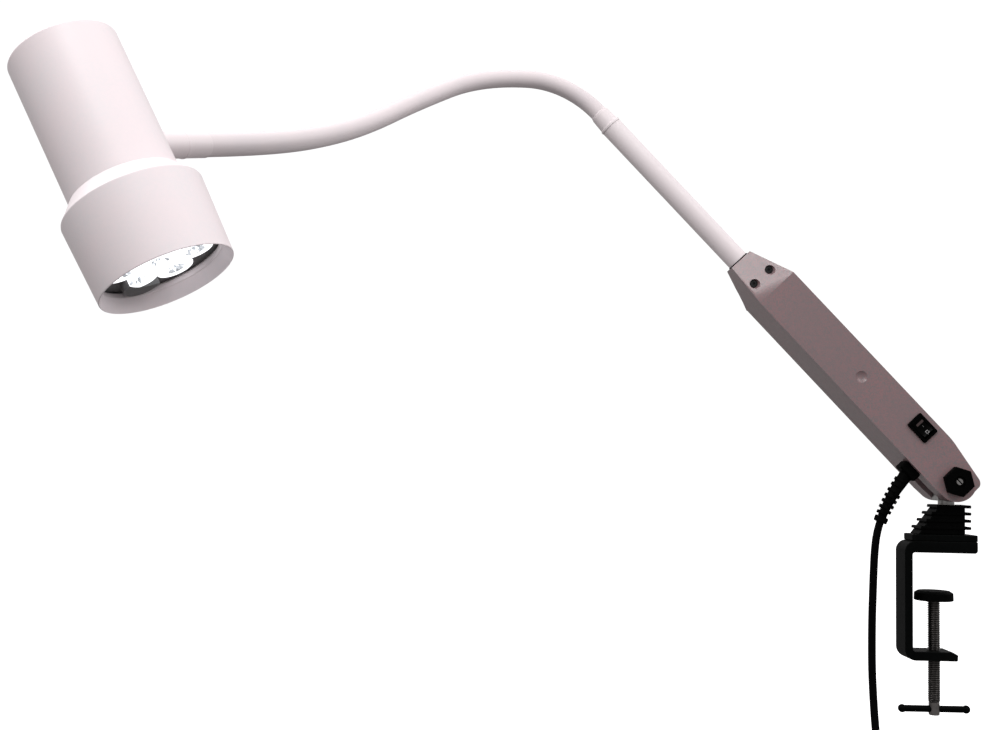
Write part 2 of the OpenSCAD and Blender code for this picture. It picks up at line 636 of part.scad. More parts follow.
module mains_cord() color([0.05, 0.05, 0.05]) {
    smooth = spline(cord_route, 3);
    sweep(smooth, [for (p = smooth) cord_d / 2], 10);
}
module cord_coil() color([0.05, 0.05, 0.05]) translate([coil_x, coil_y, coil_z]) rotate([0, 90, 0])
    rotate_extrude($fn = 96) translate([coil_r, 0])
        square([2 * coil_half_r, 2 * coil_half_x], center = true);
module cord_tie() color([0.1, 0.1, 0.12]) translate([coil_x, coil_y, coil_z + coil_r]) difference() {
    cube([2 * coil_half_x + 3, 9, 2 * coil_half_r + 4], center = true);
    cube([2 * coil_half_x + 0.4, 10, 2 * coil_half_r + 1.8], center = true);
}
module on_plug() {
    translate([plug_x, plug_y, plug_z]) children();
}
module mains_plug() color([0.05, 0.05, 0.05]) on_plug() {
    translate([0, 0, -22]) cylinder(r1 = 6.5, r2 = 3.8, h = 22);
    translate([0, 0, -32]) cylinder(r1 = 17, r2 = 8.5, h = 10);
    translate([0, 0, -54]) cylinder(r1 = 18.6, r2 = 17, h = 22);
}
module plug_pins() color("silver") on_plug() for (y = [-pin_pitch / 2, pin_pitch / 2])
    translate([0, y, -73]) {
        cylinder(r = 2.4, h = 18.95);
        sphere(r = 2.4);
    }

clamp_frame();
top_plate();
swivel_socket();
swivel_bush();
socket_screws();
pressure_pad();
clamp_spindle();
tommy_bar();
knuckle_stud();
stud_clip();
mains_cord();
cord_coil();
cord_tie();
mains_plug();
plug_pins();
front_housing();
rear_cover();
nose_screws();
cover_screws();
friction_washers();
pivot_bolt();
hex_knob();
switch_bezel();
switch_rocker();
led_driver();
driver_board();
terminal_block();
strain_relief();
tube_saddle();
tube_gasket();
arm_tube();
lamp_cable();
base_ferrule();
neck_core_1();
neck_core_2();
neck_core_3();
neck_core_4();
neck_core_5();
neck_core_6();
neck_core_7();
neck_sleeve_1();
neck_sleeve_2();
neck_sleeve_3();
neck_sleeve_4();
neck_sleeve_5();
neck_sleeve_6();
end_collar();
collar_nut();
barrel();
heat_sink();
led_board();
led_chips();
lens_cluster();
bezel_ring();
shade();
head_screws();
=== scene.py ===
"""Looks of the examination lamp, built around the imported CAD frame.

Lengths in the tables and outlines are millimetres in the local frame of the arm, head or clamp;
the matrices ARM, HEAD and ROW carry them into the row frame in metres.
"""
import math
import random
from contextlib import contextmanager

import bmesh
import bpy
from mathutils import Matrix, Vector


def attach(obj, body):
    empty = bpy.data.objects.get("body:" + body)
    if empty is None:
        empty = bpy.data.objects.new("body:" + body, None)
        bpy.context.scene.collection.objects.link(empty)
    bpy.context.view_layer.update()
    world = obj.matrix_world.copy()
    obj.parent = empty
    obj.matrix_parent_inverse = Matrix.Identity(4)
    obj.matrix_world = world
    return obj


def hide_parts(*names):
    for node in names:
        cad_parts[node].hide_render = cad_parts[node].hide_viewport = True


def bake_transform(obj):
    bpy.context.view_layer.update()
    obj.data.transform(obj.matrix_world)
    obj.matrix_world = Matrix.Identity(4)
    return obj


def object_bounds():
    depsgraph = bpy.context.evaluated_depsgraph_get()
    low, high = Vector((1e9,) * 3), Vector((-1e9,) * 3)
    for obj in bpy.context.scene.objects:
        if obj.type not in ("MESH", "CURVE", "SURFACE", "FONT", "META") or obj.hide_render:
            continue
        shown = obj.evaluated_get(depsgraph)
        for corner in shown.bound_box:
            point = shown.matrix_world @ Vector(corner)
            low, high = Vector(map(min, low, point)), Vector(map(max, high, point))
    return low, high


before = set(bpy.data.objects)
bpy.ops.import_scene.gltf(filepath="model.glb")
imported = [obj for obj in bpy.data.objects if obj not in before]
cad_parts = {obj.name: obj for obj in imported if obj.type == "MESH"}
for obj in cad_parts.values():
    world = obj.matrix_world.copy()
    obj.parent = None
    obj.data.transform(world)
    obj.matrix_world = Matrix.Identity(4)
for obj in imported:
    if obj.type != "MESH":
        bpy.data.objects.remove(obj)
cad_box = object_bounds()
random.seed(7)

# ---- Driving dimensions, as in the CAD model ----

MM = 0.001
ARM_TILT = 46
PIVOT_Z = 59
HOUSING_UP, HOUSING_DOWN = 21.2, 17
HOUSING_NEAR, HOUSING_FAR = 25, 29
HOUSING_L, NOSE_X, NOSE_HALF = 216, 253, 10.5
END_R = 16.6
COVER_Y = -20
WALL = 2.6
TUBE_R = 9.2
TUBE_END, NECK_START = 411, 427
SLEEVE_R, SLEEVE_WALL = 7.3, 1.3
COLLAR_L, BARREL_R = 39, 31
BARREL_BACK, BARREL_FRONT = 60, 27
SHADE_R, SHADE_FRONT, SHOULDER = 38, 84, 10
LIP_R, LENS_Z, LENS_R, LENS_RING = 34.3, 73, 10.6, 20.4
HEAD_ROLL = 18
CORD_D = 6.3
COIL_R = 33
COIL_CENTRE = (-66, -7, -220)
SWITCH_X, SWITCH_Z = 51, 9.6
NOSE_SCREW_X, NOSE_SCREWS_Z = 231, (-7.8, 9.6)
DIMPLE_X, DIMPLE_Z = 115, 2.3
SCREW_X = 10.8
FRAME_W = 25
BAR_Z = -128.5      # height of the tommy bar's axis
CROWN_R, CROWN_Y = 18.95, 24.5      # radius and centre of the rocker's curved face

# Gooseneck arcs: length, downward bend and sideways bend in degrees
ARCS = [(70, 48, 21), (80, 22, 27), (80, 1, 17), (80, -5, 7), (85, -4, 2), (85, -7, -17)]

# Free route of the mains lead, from the strain relief down to the coil, in metres
CORD_ROUTE = [
    (-.0596, -.014, .025), (-.0618, -.014, .017), (-.0634, -.014, .008), (-.0646, -.014, -.006),
    (-.0656, -.014, -.030), (-.0666, -.0145, -.060), (-.067, -.016, -.095),
    (-.0666, -.0195, -.125), (-.0664, -.024, -.145), (-.0672, -.031, -.165),
    (-.0692, -.0385, -.184), (-.0724, -.044, -.202), (-.075, -.046, -.220)]
# Route of the strain relief, from the housing's underside to the lead's exit, in metres
RELIEF_ROUTE = [
    (-.0339, -.014, .0703), (-.0374, -.014, .065), (-.0418, -.014, .0584), (-.0464, -.014, .0516),
    (-.051, -.014, .044), (-.0556, -.014, .035), (-.0594, -.014, .0257)]


def turn(degrees, axis):
    return Matrix.Rotation(math.radians(degrees), 4, axis)


def move(x, y, z):
    return Matrix.Translation((x, y, z))


ROW = Matrix.Scale(MM, 4)
SCREW = ROW @ move(-SCREW_X, 0, 0)
ARM = ROW @ move(0, 0, PIVOT_Z) @ turn(ARM_TILT, "Y") @ turn(180, "Z")


def arc_step(length, down, side, share):
    """Matrix from the start of a gooseneck arc to the point at a share of its length."""
    bend = math.hypot(down, side)
    way = math.degrees(math.atan2(side, down))
    radius = length / math.radians(bend)
    a = math.radians(bend * share)
    return (turn(way, "Z") @ move(radius * (1 - math.cos(a)), 0, radius * math.sin(a))
            @ turn(bend * share, "Y") @ turn(-way, "Z"))


def arc_starts():
    here = ARM @ move(NECK_START, 0, 0) @ turn(90, "Y")
    starts = [here]
    for arc in ARCS:
        here = here @ arc_step(*arc, 1)
        starts.append(here)
    return starts


ARC_STARTS = arc_starts()
HEAD = (ARC_STARTS[-1] @ move(0, 0, COLLAR_L + BARREL_R) @ turn(HEAD_ROLL, "Z")
        @ turn(90, "Y"))

# ---- Mesh helpers ----


def polar(r, turns):
    """Point at radius r, a number of full turns round."""
    return r * math.cos(math.tau * turns), r * math.sin(math.tau * turns)


def arc_points(x, y, r, start, end, steps=8):
    angles = [math.radians(start + (end - start) * i / steps) for i in range(steps + 1)]
    return [(x + r * math.cos(a), y + r * math.sin(a)) for a in angles]


def rounded(corners, steps=5):
    """Outline of (x, y, radius) corners, each corner replaced by an arc of that radius."""
    points = []
    n = len(corners)
    for i, (x, y, r) in enumerate(corners):
        here = Vector((x, y))
        back = Vector(corners[i - 1][:2]) - here
        ahead = Vector(corners[(i + 1) % n][:2]) - here
        if r <= 0:
            points.append((x, y))
            continue
        half = back.angle(ahead) / 2
        reach = min(r / math.tan(half), back.length * 0.49, ahead.length * 0.49)
        a, b = here + back.normalized() * reach, here + ahead.normalized() * reach
        for k in range(steps + 1):
            t = k / steps
            points.append(tuple((1 - t) ** 2 * a + 2 * t * (1 - t) * here + t * t * b))
    return points


def rectangle(half_x, half_y, r, steps=5):
    """Rounded rectangle about the origin."""
    return rounded([(-half_x, -half_y, r), (half_x, -half_y, r), (half_x, half_y, r),
                    (-half_x, half_y, r)], steps)


@contextmanager
def edited(mesh):
    """The mesh as a bmesh, written back at the end."""
    bm = bmesh.new()
    bm.from_mesh(mesh)
    yield bm
    bm.to_mesh(mesh)
    bm.free()


def add_to_scene(name, data):
    obj = bpy.data.objects.new(name, data)
    bpy.context.scene.collection.objects.link(obj)
    return obj


def new_object(name, verts, faces, matrix=Matrix.Identity(4)):
    mesh = bpy.data.meshes.new(name)
    mesh.from_pydata([matrix @ Vector(v) for v in verts], [], faces)
    with edited(mesh) as bm:
        bmesh.ops.remove_doubles(bm, verts=bm.verts, dist=1e-7)
        bmesh.ops.recalc_face_normals(bm, faces=bm.faces)
    return add_to_scene(name, mesh)


def bridge(a, b, sides):
    """Quads between two rings of vertices that start at a and at b."""
    return [[a + k, a + (k + 1) % sides, b + (k + 1) % sides, b + k] for k in range(sides)]


def caps(start, end, sides):
    """End faces on the rings that start at start and at end."""
    return [list(range(start + sides - 1, start - 1, -1)), list(range(end, end + sides))]


def lathe(name, profile, matrix, segments=96):
    """Solid of revolution about local Z, of a closed profile of (r, z) points. r = 0 is a pole."""
    verts, rings = [], []
    for r, z in profile:
        if r < 1e-6:
            rings.append([len(verts)] * segments)
            verts.append((0, 0, z))
        else:
            rings.append(list(range(len(verts), len(verts) + segments)))
            verts += [(*polar(r, k / segments), z) for k in range(segments)]
    faces = []
    for a, b in zip(rings, rings[1:] + rings[:1]):
        for k in range(segments):
            m = (k + 1) % segments
            face = list(dict.fromkeys([a[k], b[k], b[m], a[m]]))
            if len(face) > 2:
                faces.append(face)
    return new_object(name, verts, faces, matrix)


def frames_along(path):
    """Tangent and two normals at each point, carried along without twist."""
    path = [Vector(p) for p in path]
    tangents = [(path[min(i + 1, len(path) - 1)] - path[max(i - 1, 0)]).normalized()
                for i in range(len(path))]
    side = tangents[0].orthogonal().normalized()
    result = []
    for point, tangent in zip(path, tangents):
        side = (side - tangent * side.dot(tangent)).normalized()
        result.append((point, side, tangent.cross(side)))
    return result


def tube(name, path, radii, sides=20):
    """Closed round tube along points in metres; radii is one number or one for each point."""
    if not hasattr(radii, "__len__"):
        radii = [radii] * len(path)
    verts, faces = [], []
    for (point, a, b), r in zip(frames_along(path), radii):
        for k in range(sides):
            x, y = polar(r, k / sides)
            verts.append(point + x * a + y * b)
    for i in range(len(path) - 1):
        faces += bridge(i * sides, (i + 1) * sides, sides)
    return new_object(name, verts, faces + caps(0, (len(path) - 1) * sides, sides))


def prism(name, outline, low, high, matrix):
    """Outline in local XY drawn out along local Z from low to high."""
    n = len(outline)
    verts = [(x, y, z) for z in (low, high) for x, y in outline]
    return new_object(name, verts, bridge(0, n, n) + caps(0, n, n), matrix)


XZ = Matrix(((1, 0, 0, 0), (0, 0, 1, 0), (0, 1, 0, 0), (0, 0, 0, 1)))  # outline XY -> local XZ


def slab(name, outline, y0, y1, matrix):
    """Outline in local XZ drawn out along local Y from y0 to y1."""
    return prism(name, outline, y0, y1, matrix @ XZ)


def box_piece(name, low, high, matrix):
    (x0, y0, z0), (x1, y1, z1) = low, high
    return prism(name, [(x0, y0), (x1, y0), (x1, y1), (x0, y1)], z0, z1, matrix)


def rod(name, r, length, matrix, segments=48):
    """Plain cylinder along local Z, from 0 to length."""
    return lathe(name, [(0, 0), (r, 0), (r, length), (0, length)], matrix, segments)


def along_y(x, y, z):
    """Local frame whose Z runs along the arm's Y, starting at a point in the arm's frame."""
    return move(x, y, z) @ turn(-90, "X")


def apply_modifiers(obj):
    evaluated = obj.evaluated_get(bpy.context.evaluated_depsgraph_get())
    mesh = bpy.data.meshes.new_from_object(evaluated)
    obj.modifiers.clear()
    obj.data = mesh
    return obj


def combine(obj, others, operation="DIFFERENCE"):
    """Boolean of obj with each of the other meshes, which are then removed."""
    for other in others:
        modifier = obj.modifiers.new("cut", "BOOLEAN")
        modifier.operation = operation
        modifier.solver = "EXACT"
        modifier.object = other
        apply_modifiers(obj)
        bpy.data.objects.remove(other)
    return obj


def bevel(obj, width, segments=3, angle=28, wide=None):
    """Rounds the edges sharper than angle. wide(a, b) may give an edge's share of the width."""
    modifier = obj.modifiers.new("bevel", "BEVEL")
    modifier.width = width * MM
    modifier.segments = segments
    modifier.limit_method = "WEIGHT" if wide else "ANGLE"
    modifier.angle_limit = math.radians(angle)
    modifier.miter_outer = "MITER_ARC"
    if wide:
        with edited(obj.data) as bm:
            layer = bm.edges.layers.float.new("bevel_weight_edge")
            for edge in bm.edges:
                if len(edge.link_faces) == 2 and edge.calc_face_angle(0) > math.radians(angle):
                    edge[layer] = wide(edge.verts[0].co, edge.verts[1].co)
    return apply_modifiers(obj)


def set_material(obj, mat):
    obj.data.materials.clear()
    obj.data.materials.append(mat)


def shade(obj, material, body=None, replaces=(), angle=35, flat=False):
    """Smooth shading with sharp edges, the material, and what the piece stands for."""
    set_material(obj, material)
    obj.data.polygons.foreach_set("use_smooth", [not flat] * len(obj.data.polygons))
    obj.data.polygons.foreach_set("material_index", [0] * len(obj.data.polygons))
    if not flat:
        obj.data.set_sharp_from_angle(angle=math.radians(angle))
        weighted = obj.modifiers.new("weighted normals", "WEIGHTED_NORMAL")
        weighted.keep_sharp = True
        weighted.weight = 100
    if body:
        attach(obj, body)
    if replaces:
        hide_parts(*replaces)
    return obj


# ---- Materials ----


class Graph:
    """Node tree, with short ways to add the nodes of a finish."""

    def __init__(self, tree):
        self.nodes, self.links = tree.nodes, tree.links

    def feed(self, node, inputs):
        """Sets each named input to a constant, or links it to a socket."""
        for name, value in inputs.items():
            if isinstance(value, bpy.types.NodeSocket):
                self.links.new(value, node.inputs[name])
            else:
                node.inputs[name].default_value = value

    def add(self, kind, output, inputs=None, **settings):
        """New node's output socket."""
        node = self.nodes.new("ShaderNode" + kind)
        for name, value in settings.items():
            setattr(node, name, value)
        self.feed(node, inputs or {})
        return node.outputs[output]

    def ramp(self, value, low, high, to_low, to_high):
        return self.add("MapRange", "Result", {
            "Value": value, "From Min": low, "From Max": high, "To Min": to_low, "To Max": to_high})

    def mix(self, factor, a, b, blend_type="MIX"):
        return self.add("Mix", "Result", {"Factor": factor, "A": a, "B": b},
                        data_type="RGBA", blend_type=blend_type)


def opaque(color):
    return (*color, 1)


def grey(value):
    return (value, value, value)


def new_material(name):
    mat = bpy.data.materials.new(name)
    mat.use_nodes = True
    return mat, Graph(mat.node_tree), mat.node_tree.nodes["Principled BSDF"]


ROUGH_SPREAD = 0.06                 # how far roughness strays from its middle value
PATCH_LOW, PATCH_HIGH = 0.38, 0.64  # noise values between which a colour patch fades in
WEAR_LOW, WEAR_HIGH, WEAR_SHARE = 0.52, 0.60, 0.6
DRAWN = (1, 1, 0.04)                # stretch of drawn or turned marks along Z


def material(name, color, roughness=0.5, metallic=0.0, specular=0.5,
             mottle=(), grain=(), streaks=(), wear=None):
    """Procedural finish. mottle: (size mm, other colour, share) for each layer of colour
    patches; grain: (size mm, height mm) for each layer of bump; streaks: (size mm, height mm)
    of drawn or turned marks along Z; wear: colour that shows along the edges."""
    mat, graph, shader = new_material(name)
    place = graph.add("TexCoord", "Object")

    def noise(size, detail=3, stretch=None):
        vector = place
        if stretch:
            vector = graph.add("Mapping", "Vector", {"Scale": stretch, "Vector": place})
        return graph.add("TexNoise", "Fac",
                         {"Scale": 1 / (size * MM), "Detail": detail, "Vector": vector})

    tint = opaque(color)
    for size, other, share in mottle:
        patches = graph.ramp(noise(size), PATCH_LOW, PATCH_HIGH, 0, share)
        tint = graph.mix(patches, tint, opaque(other))
    if wear:
        edge = graph.add("NewGeometry", "Pointiness")
        tint = graph.mix(graph.ramp(edge, WEAR_LOW, WEAR_HIGH, 0, WEAR_SHARE), tint, opaque(wear))
    rough = graph.ramp(noise(4), 0, 1, max(0.02, roughness - ROUGH_SPREAD),
                       min(1, roughness + ROUGH_SPREAD))
    graph.feed(shader, {"Metallic": metallic, "Specular IOR Level": specular,
                        "Base Color": tint, "Roughness": rough})
    normal = None
    for size, height, stretch in [(*g, None) for g in grain] + [(*g, DRAWN) for g in streaks]:
        inputs = {"Distance": height * MM, "Strength": 1.0, "Height": noise(size, 2, stretch)}
        if normal:
            inputs["Normal"] = normal
        normal = graph.add("Bump", "Normal", inputs)
    graph.feed(shader, {"Normal": normal})
    return mat


WHITE_PAINT = material(
    "satin white powder coat", (0.8, 0.715, 0.735), roughness=0.46, specular=0.4,
    mottle=[(30, (0.765, 0.715, 0.735), 0.7), (2.2, (0.83, 0.725, 0.745), 0.4)],
    grain=[(0.9, 0.01), (0.25, 0.004)])
WHITE_TUBE = material(
    "white coated tube", (0.76, 0.685, 0.7), roughness=0.4, specular=0.42,
    mottle=[(40, (0.765, 0.705, 0.72), 0.5)], grain=[(0.8, 0.008)])
WHITE_SLEEVE = material(
    "white silicone sleeve", (0.72, 0.645, 0.66), roughness=0.56, specular=0.35,
    mottle=[(25, (0.69, 0.63, 0.65), 0.6)], grain=[(0.5, 0.006)])
GREY_COAT = material(
    "grey textured powder coat", (0.195, 0.14, 0.147), roughness=0.36, specular=0.6,
    mottle=[(2.6, (0.138, 0.138, 0.143), 0.75), (1.1, (0.3, 0.135, 0.14), 0.6),
            (60, (0.185, 0.138, 0.143), 0.5)],
    grain=[(0.55, 0.035), (0.2, 0.01)])
BLACK_COAT = material(
    "black powder coat", (0.0008, 0.001, 0.001), roughness=0.5, specular=0.025,
    mottle=[(3, (0.0016, 0.002, 0.002), 0.6)], grain=[(0.7, 0.03)], wear=grey(0.01))
BLACK_PLASTIC = material(
    "black moulded plastic", (0.0005, 0.0005, 0.0006), roughness=0.5, specular=0.02,
    mottle=[(2, grey(0.0016), 0.6)], grain=[(0.35, 0.012)])
BLACK_GLOSS = material(
    "gloss black plastic", grey(0.0005), roughness=0.3, specular=0.03,
    mottle=[(5, grey(0.0012), 0.5)], grain=[(1.5, 0.002)])
BLACK_RUBBER = material(
    "moulded black rubber", grey(0.0006), roughness=0.65, specular=0.02,
    mottle=[(2.5, grey(0.002), 0.6)], grain=[(0.4, 0.015)])
CORD_SHEATH = material(
    "matt black cord sheath", (0.0005, 0.0005, 0.0006), roughness=0.5, specular=0.03,
    mottle=[(6, (0.002, 0.002, 0.0022), 0.5)], grain=[(1.2, 0.01), (0.3, 0.004)])
SPINDLE_STEEL = material(
    "oiled dark steel", (0.075, 0.069, 0.067), roughness=0.36, metallic=1.0,
    mottle=[(2.5, (0.02, 0.019, 0.018), 0.8), (0.8, (0.1, 0.09, 0.085), 0.35)],
    grain=[(0.3, 0.006)], wear=(0.32, 0.3, 0.29))
BRIGHT_STEEL = material(
    "zinc-plated steel", (0.3, 0.29, 0.285), roughness=0.3, metallic=1.0,
    mottle=[(3, (0.2, 0.195, 0.19), 0.6)], streaks=[(0.25, 0.004)])
DARK_SCREW = material(
    "blackened steel", (0.02, 0.02, 0.021), roughness=0.35, metallic=0.6, specular=0.4,
    mottle=[(1.5, grey(0.05), 0.4)], grain=[(0.3, 0.004)])
DARK_BEZEL = material(
    "dark grey satin plastic", (0.11, 0.108, 0.11), roughness=0.42, specular=0.35,
    mottle=[(2, grey(0.1), 0.5)], grain=[(0.4, 0.006)])
HOSE_STEEL = material(
    "wound steel hose", grey(0.42), roughness=0.35, metallic=1.0,
    mottle=[(3, grey(0.3), 0.5)], grain=[(1.0, 0.05)])
SINK_METAL = material(
    "extruded aluminium", (0.7, 0.7, 0.71), roughness=0.38, metallic=1.0,
    mottle=[(6, (0.6, 0.6, 0.62), 0.5)], streaks=[(0.3, 0.006)])
BRONZE = material(
    "bronze friction disc", (0.5, 0.32, 0.13), roughness=0.4, metallic=1.0,
    mottle=[(2, (0.35, 0.22, 0.09), 0.6)], grain=[(0.4, 0.006)])
ACETAL = material(
    "natural acetal", (0.8, 0.77, 0.66), roughness=0.42, specular=0.45,
    mottle=[(5, (0.76, 0.73, 0.62), 0.5)], grain=[(0.8, 0.004)])
NICKEL = material(
    "nickel-plated brass", (0.7, 0.67, 0.6), roughness=0.2, metallic=1.0,
    mottle=[(3, (0.62, 0.6, 0.54), 0.5)], streaks=[(0.3, 0.002)])
DRIVER_CASE = material(
    "potted driver case", (0.04, 0.04, 0.045), roughness=0.5,
    mottle=[(4, (0.06, 0.06, 0.065), 0.5)], grain=[(0.8, 0.02)])
BOARD_GREEN = material(
    "green circuit board", (0.015, 0.11, 0.04), roughness=0.35,
    mottle=[(2, (0.02, 0.16, 0.06), 0.6)], grain=[(1.5, 0.01)])
BOARD_WHITE = material(
    "white solder mask", (0.8, 0.8, 0.78), roughness=0.35,
    mottle=[(3, (0.74, 0.74, 0.72), 0.5)], grain=[(1.2, 0.006)])
PHOSPHOR = material(
    "phosphor", (0.85, 0.75, 0.25), roughness=0.6,
    mottle=[(0.6, (0.8, 0.68, 0.18), 0.6)], grain=[(0.3, 0.01)])
CABLE_GREY = material(
    "grey cable sheath", grey(0.08), roughness=0.55,
    mottle=[(4, grey(0.11), 0.5)], grain=[(0.6, 0.01)])
PRINT_WHITE = material(
    "light printed mark", (0.3, 0.29, 0.29), roughness=0.6,
    mottle=[(0.5, (0.24, 0.23, 0.23), 0.5)], grain=[(0.2, 0.004)])
PRINT_DIM = material(
    "dim printed mark", grey(0.1), roughness=0.6,
    mottle=[(0.5, grey(0.07), 0.5)], grain=[(0.2, 0.004)])
# Painted highlight: the dull pale bar laid on the rocker stands for light caught along its curve, not for a
# printed mark.
HIGHLIGHT_BAR_PAINT = material(
    "dull marker bar", (0.06, 0.04, 0.04), roughness=0.5, specular=0.2,
    mottle=[(0.6, (0.035, 0.025, 0.025), 0.6)], grain=[(0.2, 0.004)])


def lit_material(name, color, strength, glint_attribute=None):
    """Clear optics seen with the lamp switched on. The optional attribute, when given, holds a per-facet
    value multiplied into the colour and glow: painted glints and shade of the crystal facets.
    """
    mat, graph, shader = new_material(name)
    place = graph.add("TexCoord", "Object")
    clouds = graph.add("TexNoise", "Fac", {"Scale": 1 / (1.6 * MM), "Vector": place})
    tint = graph.mix(clouds, opaque(color), opaque([c * 0.93 for c in color]))
    if glint_attribute:
        facet = graph.add("Attribute", "Color", attribute_name=glint_attribute)
        tint = graph.mix(1, tint, facet, "MULTIPLY")
    graph.feed(shader, {"Roughness": 0.12, "Emission Strength": strength,
                        "Base Color": tint, "Emission Color": tint})
    return mat


LENS_GLOW = lit_material("lit lens", (0.97, 0.98, 1.0), 1.6)
# Painted glints: the faceted liners glow brighter or dimmer facet by facet, standing for light caught in
# the crystal.
LENS_FACET_GLINTS = lit_material("lit lens facets", (0.95, 0.97, 1.0), 0.55, "facet")

CAD_FINISH = (
    (BLACK_COAT, "clamp_frame top_plate tommy_bar"),
    (BLACK_PLASTIC, "swivel_socket mains_plug hex_knob switch_bezel"),
    (BLACK_GLOSS, "switch_rocker"),
    (BLACK_RUBBER, "pressure_pad cord_tie strain_relief tube_gasket"),
    (CORD_SHEATH, "mains_cord cord_coil"),
    (SPINDLE_STEEL, "clamp_spindle"),
    (BRIGHT_STEEL, "socket_screws knuckle_stud pivot_bolt tube_saddle collar_nut"),
    (DARK_SCREW, "stud_clip nose_screws cover_screws head_screws"),
    (ACETAL, "swivel_bush terminal_block"),
    (NICKEL, "plug_pins"),
    (GREY_COAT, "front_housing rear_cover"),
    (BRONZE, "friction_washers"),
    (DRIVER_CASE, "led_driver"),
    (BOARD_GREEN, "driver_board"),
    (BOARD_WHITE, "led_board"),
    (PHOSPHOR, "led_chips"),
    (CABLE_GREY, "lamp_cable"),
    (WHITE_TUBE, "arm_tube base_ferrule end_collar"),
    (WHITE_PAINT, "barrel shade"),
    (SINK_METAL, "heat_sink"),
    (LENS_GLOW, "lens_cluster"),
    (DARK_BEZEL, "bezel_ring"),
    (HOSE_STEEL, " ".join(f"neck_core_{k}" for k in range(1, 8))),
    (WHITE_SLEEVE, " ".join(f"neck_sleeve_{k}" for k in range(1, 7))),
)
for finish, names in CAD_FINISH:
    for name in names.split():
        set_material(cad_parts[name], finish)

# ---- Camera, stage and light ----

BELOW_LIGHT, ABOVE_LIGHT = 0.25, 0.82


def place_camera():
    camera = add_to_scene("camera", bpy.data.cameras.new("camera"))
    right, up, back = (0.9997, -0.0081, 0.0231), (-0.0237, -0.0795, 0.9966), (-0.0063, -0.9968, -0.0797)
    place = (-0.3827, -1.0496, 0.0641)
    camera.matrix_world = Matrix([(*right, 0), (*up, 0), (*back, 0), (*place, 1)]).transposed()
    camera.data.lens = 45
    camera.data.sensor_width = 36
    camera.data.clip_start = 0.01
    bpy.context.scene.camera = camera


def area_light(name, at, target, size, power):
    data = bpy.data.lights.new(name, "AREA")
    data.size = size
    data.energy = power
    light = add_to_scene(name, data)
    light.location = at
    light.rotation_euler = (Vector(target) - Vector(at)).to_track_quat("-Z", "Y").to_euler()


def plain_stage():
    """Pale floor that throws no light back, and soft surroundings, brighter above than below."""
    mat, graph, shader = new_material("pale floor")
    graph.feed(shader, {"Base Color": opaque(grey(0.9)), "Roughness": 0.9, "Specular IOR Level": 0,
                        "Emission Color": opaque(grey(1)), "Emission Strength": 0.75})
    half, z = 12, cad_box[0][2] - 0.02
    floor = new_object("floor", [(-half, -half, z), (half, -half, z), (half, half, z), (-half, half, z)],
                       [[0, 1, 2, 3]])
    set_material(floor, mat)
    floor.visible_diffuse = False
    floor.visible_glossy = False

    world = bpy.data.worlds.new("studio")
    bpy.context.scene.world = world
    world.use_nodes = True
    graph = Graph(world.node_tree)
    backdrop = graph.nodes["Background"]
    graph.feed(backdrop, {"Color": opaque(grey(1)), "Strength": 1.05})
    direction = graph.add("TexCoord", "Generated")
    height = graph.add("SeparateXYZ", "Z", {"Vector": direction})
    strength = graph.ramp(height, -0.6, 0.9, BELOW_LIGHT, ABOVE_LIGHT)
    around = graph.add("Background", "Background",
                       {"Color": (1.0, 0.985, 0.985, 1), "Strength": strength})
    seen = graph.add("LightPath", "Is Camera Ray")
    mix = graph.nodes.new("ShaderNodeMixShader")
    graph.feed(mix, {0: seen, 1: around, 2: backdrop.outputs["Background"]})
    graph.links.new(mix.outputs["Shader"], graph.nodes["World Output"].inputs["Surface"])

    area_light("front key", (-0.57, -1.07, 1.19), (-0.18, 0, 0.24), 0.5, 9)
    area_light("left key", (-1.5, -0.25, 1.4), (-0.20, -0.05, 0.15), 0.8, 11)
    area_light("right fill", (1.0, -1.0, 1.2), (-0.35, -0.1, 0.2), 1.0, 8)
    area_light("rim", (1.0, 0.35, 0.9), (0, 0, 0.08), 0.5, 3)
    bpy.context.scene.view_settings.view_transform = "Standard"


# ---- Mains lead ----


def spline(points, steps):
    """Smooth curve through points, as the CAD model draws its routes."""
    p = [Vector(q) for q in points]
    out = []
    for i in range(len(p) - 1):
        a, b, c, d = p[max(i - 1, 0)], p[i], p[i + 1], p[min(i + 2, len(p) - 1)]
        for k in range(steps):
            t = k / steps
            out.append(0.5 * (2 * b + (c - a) * t + (2 * a - 5 * b + 4 * c - d) * t * t
                              + (3 * b - a - 3 * c + d) * t ** 3))
    out.append(p[-1])
    return out


def smoothstep(t):
    t = min(1, max(0, t))
    return t * t * (3 - 2 * t)


def coil_turns():
    """Points of the stored coil: four columns of turns wound out and in, ending at the plug."""
    layers = [COIL_R + (k - 1) * CORD_D for k in (2, 1, 0)]
    slots = []
    for column in range(4):
        slots += [(column, r) for r in (layers[::-1] if column % 2 else layers)]
    per_turn = 32       # points in one turn
    shift = 0.8         # share of a turn taken to move on to the next slot
    bulge = 0.2         # how far a turn swings out as it changes column, in cord diameters
    points = []
    for (column, r), (next_column, next_r) in zip(slots, slots[1:]):
        for k in range(per_turn):
            turn_share = k / per_turn
            t = smoothstep((turn_share - 1 + shift) / shift)
            radius = r + (next_r - r) * t
            if next_column != column:
                away = 1 if r > COIL_R else -1
                radius += away * bulge * CORD_D * math.sin(math.pi * t)
            x = COIL_CENTRE[0] + (column + (next_column - column) * t - 1.5) * CORD_D
            y, z = polar(radius, turn_share)
            points.append((x * MM, (COIL_CENTRE[1] - y) * MM, (COIL_CENTRE[2] - z) * MM))
    return points


